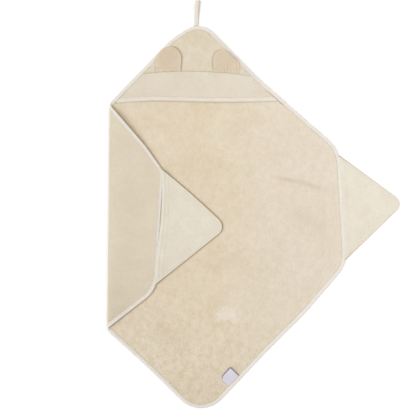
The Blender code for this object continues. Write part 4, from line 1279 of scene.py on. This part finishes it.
def make_glove_panel(side, panel, glove, low, outside, waves, puffs, rise, ease):
    """A muslin panel. The front one's base is sewn to the binding, the back one's is hemmed."""
    name, free = f"{side}_glove_{panel}", panel == "back"
    across = close_ends(74, 1.0 / glove.base)
    along = close_ends(60, 1.0 / GLOVE_LENGTH)
    a, b = (grid.ravel() for grid in np.meshgrid(across, along))
    flat, hump = glove.spot(a, b)
    net = grid_net(len(along), len(across))
    rim = glove.rim()

    def middle_and_puff(flat, hump):
        from_base = from_rim(flat, rim[:BASE_POINTS], closed=False)
        from_side = from_rim(flat, np.vstack((rim[BASE_POINTS - 1:], rim[:1])), closed=False)
        field = smooth(from_side / 30.0) * (1.0 if free else smooth(from_base / 30.0))
        puff = field * GLOVE_SWELL
        puff += GLOVE_UNEVEN * smooth(from_side / 6.0) * uneven(flat, 42.0, 31)
        puff = puff + np.abs(creases(flat, waves)[0]) * smooth(from_side / 12.0)
        puff = np.maximum(puff, 0.0) * puffs * smooth((from_base + 2.0) / 12.0)
        lifted = rise * (1.0 - smooth((from_base - 2.5) / ease))
        return low + MUSLIN / 2.0 - hump + outside * lifted, puff, from_base, from_side

    middle, puff, from_base, from_side = middle_and_puff(flat, hump)
    round_rim = np.sqrt(1.0 - (1.0 - np.clip(from_rim(flat, rim) / 0.7, 0.0, 1.0)) ** 2)
    seam = 1.0 - smooth((from_side - GLOVE_SEAM) / 1.2)
    hem = free * (1.0 - smooth((from_base - GLOVE_HEM) / 1.2))
    puckers = SIDE_PUCKER * uneven(flat, 8.0, 33) * np.exp(-from_side / 9.0)
    # The base is pressed thin where it is sewn down.
    pressed = blend(0.5, 1.0, smooth((from_base - 1.0) / 6.0))
    thick = (MUSLIN / 2.0 + SEAM_THICKER * np.maximum(seam, HEM_THICKER * hem)) * pressed
    outer = middle + outside * (round_rim * (thick + puckers) + puff)
    inner = middle + outside * (puff - round_rim * MUSLIN / 2.0 * pressed)
    over, under = (outer, inner) if outside > 0 else (inner, outer)
    # Painted shade beside the side seams, along the back panel's hem and at the side rims.
    hollow = np.max((GLOVE_SEAM_SHADE * bell(from_side - GLOVE_SEAM - 0.7, 1.1),
                     GLOVE_HEM_SHADE * free * bell(from_base - GLOVE_HEM - 0.8, 1.1),
                     GLOVE_RIM_SHADE * (1.0 - smooth(from_side / 1.4))), axis=0)
    piece = make_cloth(name, flat, net, over, under, [GLOVE_MUSLIN], hollow)
    for row, (from_edge, off) in enumerate(HEM_STITCHES if free else ()):
        a = np.arange(8.0, glove.base - 8.0, STITCH) / glove.base
        b = np.full(len(a), from_edge / GLOVE_LENGTH)
        spots, hump = glove.spot(a, b)
        way = at_level(unit(glove.spot(a + 0.004, b)[0] - spots), 0.0)
        middle, puff, _, from_side = middle_and_puff(spots, hump)
        middles = at_level(spots, middle + outside * (MUSLIN / 2.0 + puff + off))
        keep = from_side > 2.0
        make_stitches(f"{name}_stitches_{row + 1}", middles[keep], way[keep],
                                     UP * outside, HEM_THREAD)
    declare([f"glove_{side}_{panel}"], net=(flat, net))


# ======== the loop and the label

TAPE_SIDE = (
    # share of half the width, share of half the thickness
    (-1.0, 0.35), (-0.93, 0.85), (-0.8, 1.0), (-0.4, 0.94), (0.0, 0.92), (0.4, 0.94),
    (0.8, 1.0), (0.93, 0.85), (1.0, 0.35),
)
TAPE_SECTION = tuple((side, -thick) for side, thick in TAPE_SIDE) + TAPE_SIDE[::-1]
TAPE_EDGES = (0, 8, 9, 17)
LOOP_STEPS = 26


def make_hanging_loop():
    """A tape folded into a narrow loop, both of its ends at the hood's tip."""
    foot_y = OUTLINE.spots[:, 1].max() + GAP
    half = LOOP_TAPE / 2.0
    radius = LOOP_EYE / 2.0 + half
    straight = LOOP_REACH - radius - half
    low_foot = LOOP_FOOT + half
    middles, through = [], []

    def step(way, leg, level, facing):
        share = way / LOOP_REACH
        x = LOOP_X + LOOP_LEAN * share + leg * blend(*LOOP_SPREAD, smooth(share))
        middles.append((x, foot_y + way, level))
        through.append((0.0, *facing))

    for share in np.linspace(0.0, 1.0, LOOP_STEPS, endpoint=False):
        level = blend(low_foot, half, smooth(share / LOOP_SETTLE))
        step(straight * share, 1.0, level, (0.0, 1.0))
    for angle in np.linspace(0.0, math.pi, LOOP_STEPS - 1):
        sin, cos = math.sin(angle), math.cos(angle)
        step(straight + radius * sin, cos, half + radius * (1.0 - cos), (-sin, cos))
    for share in np.linspace(1.0 / LOOP_STEPS, 1.0, LOOP_STEPS):
        level = blend(3.0 * half + LOOP_EYE, low_foot + LOOP_TAPE + GAP,
                      smooth(share / LOOP_SETTLE))
        step(straight * (1.0 - share), -1.0, level, (0.0, -1.0))
    middles, through = np.array(middles), np.array(through)
    steps = np.linalg.norm(np.diff(middles, axis=0), axis=1)
    ways = np.concatenate(((0.0,), np.cumsum(steps)))
    # Painted shade on the tape's edges, more than 30 mm above its foot.
    deep = 0.5 * smooth((middles[:, 1] - foot_y - 30.0) / 15.0)
    sections, drawing, hollow = [], [], []
    for index, (side, thick) in enumerate(TAPE_SECTION):
        aside = LOOP_WIDTH / 2.0 * side
        sections.append(middles + (aside, 0.0, 0.0) + through * (half * thick))
        drawing.append(at_level(ways, aside))
        hollow.append(deep * (index in TAPE_EDGES))
    piece = make_strip("loop_tape", sections, drawing, TAPE_CLOTH, hollow)
    declare(["hanging_loop"],
            (LOOP_WIDTH + 1.5, float(ways[-1])))


def make_label():
    """A blank satin label, folded double, its upper side curling a little open."""
    spot, inward = OUTLINE.at(OUTLINE.before("bottom", LABEL_FROM_BOTTOM))
    along = np.array((inward[1], -inward[0]))
    root = BINDING_WIDTH - 1.0
    across = np.concatenate(((0.0, 0.004, 0.012), np.linspace(0.03, 0.97, 24), (0.988, 0.996, 1.0)))
    out = np.linspace(0.0, 1.0, 26)
    # distance out, 0 on the lower layer and 1 on the upper one, share of the reach
    rows = [(LABEL_REACH * share, 0.0, share) for share in out]
    rows += [(LABEL_REACH + 0.45 * math.sin(angle), 0.5 - 0.5 * math.cos(angle), 1.0)
             for angle in np.linspace(0.0, math.pi, 9)[1:-1]]
    rows += [(LABEL_REACH * share, 1.0, share) for share in out[::-1]]
    # The folded end lifts, more at the end away from the square's corner, and its other corner is
    # turned under, so that the label is shorter there.
    open_side = smooth((across - 0.45) / 0.55)
    shorter = 1.0 - LABEL_TURNED * (1.0 - smooth(across / 0.25))
    points, drawing = [], []
    for row, (reach, upper, share) in enumerate(rows):
        lift = (LABEL_LIFT[0] + LABEL_LIFT[1] * open_side) * smooth(share)
        belly = LABEL_BELLY[0] + LABEL_BELLY[1] * open_side
        belly = belly * math.sin(math.pi * min(share * 0.9 + 0.1, 1.0))
        level = TERRY + 0.1 + lift + upper * (LABEL_FOLD + belly)
        flat = (spot + along * (LABEL_WIDTH * (across[:, None] - 0.5))
                + inward * (root + reach * shorter)[:, None])
        points.append(at_level(flat, level))
        drawing.append(at_level(LABEL_WIDTH * across, row * 1.2))
    sheet = np.stack(points)
    normal = unit(np.cross(np.gradient(sheet, axis=1), np.gradient(sheet, axis=0)))
    from_end = np.clip(np.minimum(across, 1.0 - across) / 0.006, 0.0, 1.0)
    rounding = np.sqrt(np.clip(1.0 - (1.0 - from_end) ** 2, 0.02, 1.0))[None, :, None]
    half = normal * (LABEL_LAYER / 2.0) * rounding
    share_across = np.tile(across, len(rows))
    share_out = np.repeat([row[2] for row in rows], len(across))
    # Painted shade along the open side and along the folded end.
    hollow = np.maximum(0.95 * (1.0 - smooth((1.0 - share_across) / 0.08)),
                        0.85 * smooth((share_out - 0.91) / 0.05) * smooth(share_across / 0.15))
    over, under = (lay((sheet + off).reshape(-1, 3)) for off in (half, -half))
    piece = make_shell("blank_label", over, under, grid_net(*sheet.shape[:2]), np.vstack(drawing),
                       [LABEL_SATIN], hollow)
    declare(["label"],
            (LABEL_WIDTH, 2.0 * LABEL_REACH + 2.0))


# ======== the studio

FRAME_MIDDLE = (-0.1398, -0.0006)
FRAME_SIDE = 1.0745
LENS = 85.0
SENSOR = 36.0
FLOOR_HALF = 4.0
FLOOR_LEVEL = -0.0003


def link_new(name, data):
    """A new object in the scene."""
    made = bpy.data.objects.new(name, data)
    bpy.context.scene.collection.objects.link(made)
    return made


def make_lamp(name, kind, place, power, tone, **settings):
    """A soft lamp that shines from a place towards the middle of the floor."""
    data = bpy.data.lights.new(name, kind)
    data.energy = power
    data.color = colour(tone)[:3]
    for setting, value in settings.items():
        setattr(data, setting, value)
    lamp = link_new(name, data)
    lamp.location = place
    lamp.rotation_euler = Vector(place).to_track_quat("Z", "Y").to_euler()


def make_studio():
    """White surroundings, a key light low on the near left, a broad fill above, and the camera."""
    scene = bpy.context.scene
    scene.view_settings.view_transform = "Standard"
    scene.world = bpy.data.worlds.new("studio_surround")
    scene.world.use_nodes = True
    background = scene.world.node_tree.nodes["Background"]
    background.inputs["Color"].default_value = colour("#fff7ea")
    background.inputs["Strength"].default_value = 0.62
    make_lamp("key", "SUN", (-1.0, -0.28, 0.72), 2.05, "#e9f4ff", angle=math.radians(36.0))
    make_lamp("fill", "AREA", (1.5, 1.3, 1.9), 36.0, "#f3f7ff", shape="SQUARE", size=1.8)
    camera_data = bpy.data.cameras.new("camera")
    camera_data.lens = LENS
    camera_data.sensor_width = SENSOR
    camera_data.clip_end = 30.0
    scene.camera = link_new("camera", camera_data)
    scene.camera.location = (*FRAME_MIDDLE, FRAME_SIDE * LENS / SENSOR)


def make_floor():
    """A plain floor of matt white paper, wide enough to fill every view."""
    mesh = bpy.data.meshes.new("studio_floor")
    corners = ((-1.0, -1.0), (1.0, -1.0), (1.0, 1.0), (-1.0, 1.0))
    mesh.from_pydata([(x * FLOOR_HALF, y * FLOOR_HALF, FLOOR_LEVEL) for x, y in corners], [],
                     [(0, 1, 2, 3)])
    paper, _, _ = start_finish("studio_white_paper", {
        "Base Color": "#fdfdfd", "Roughness": 0.9, "Specular IOR Level": 0.1})
    mesh.materials.append(paper)
    link_new("studio_floor", mesh)


make_studio()
make_floor()
make_terry_square()
make_edge_binding()
make_hood_tip()
make_hood_band()
make_hem_binding()
for ear in EARS:
    make_ear(*ear)
for panel in PANELS:
    make_glove_panel(*panel)
make_hanging_loop()
make_label()
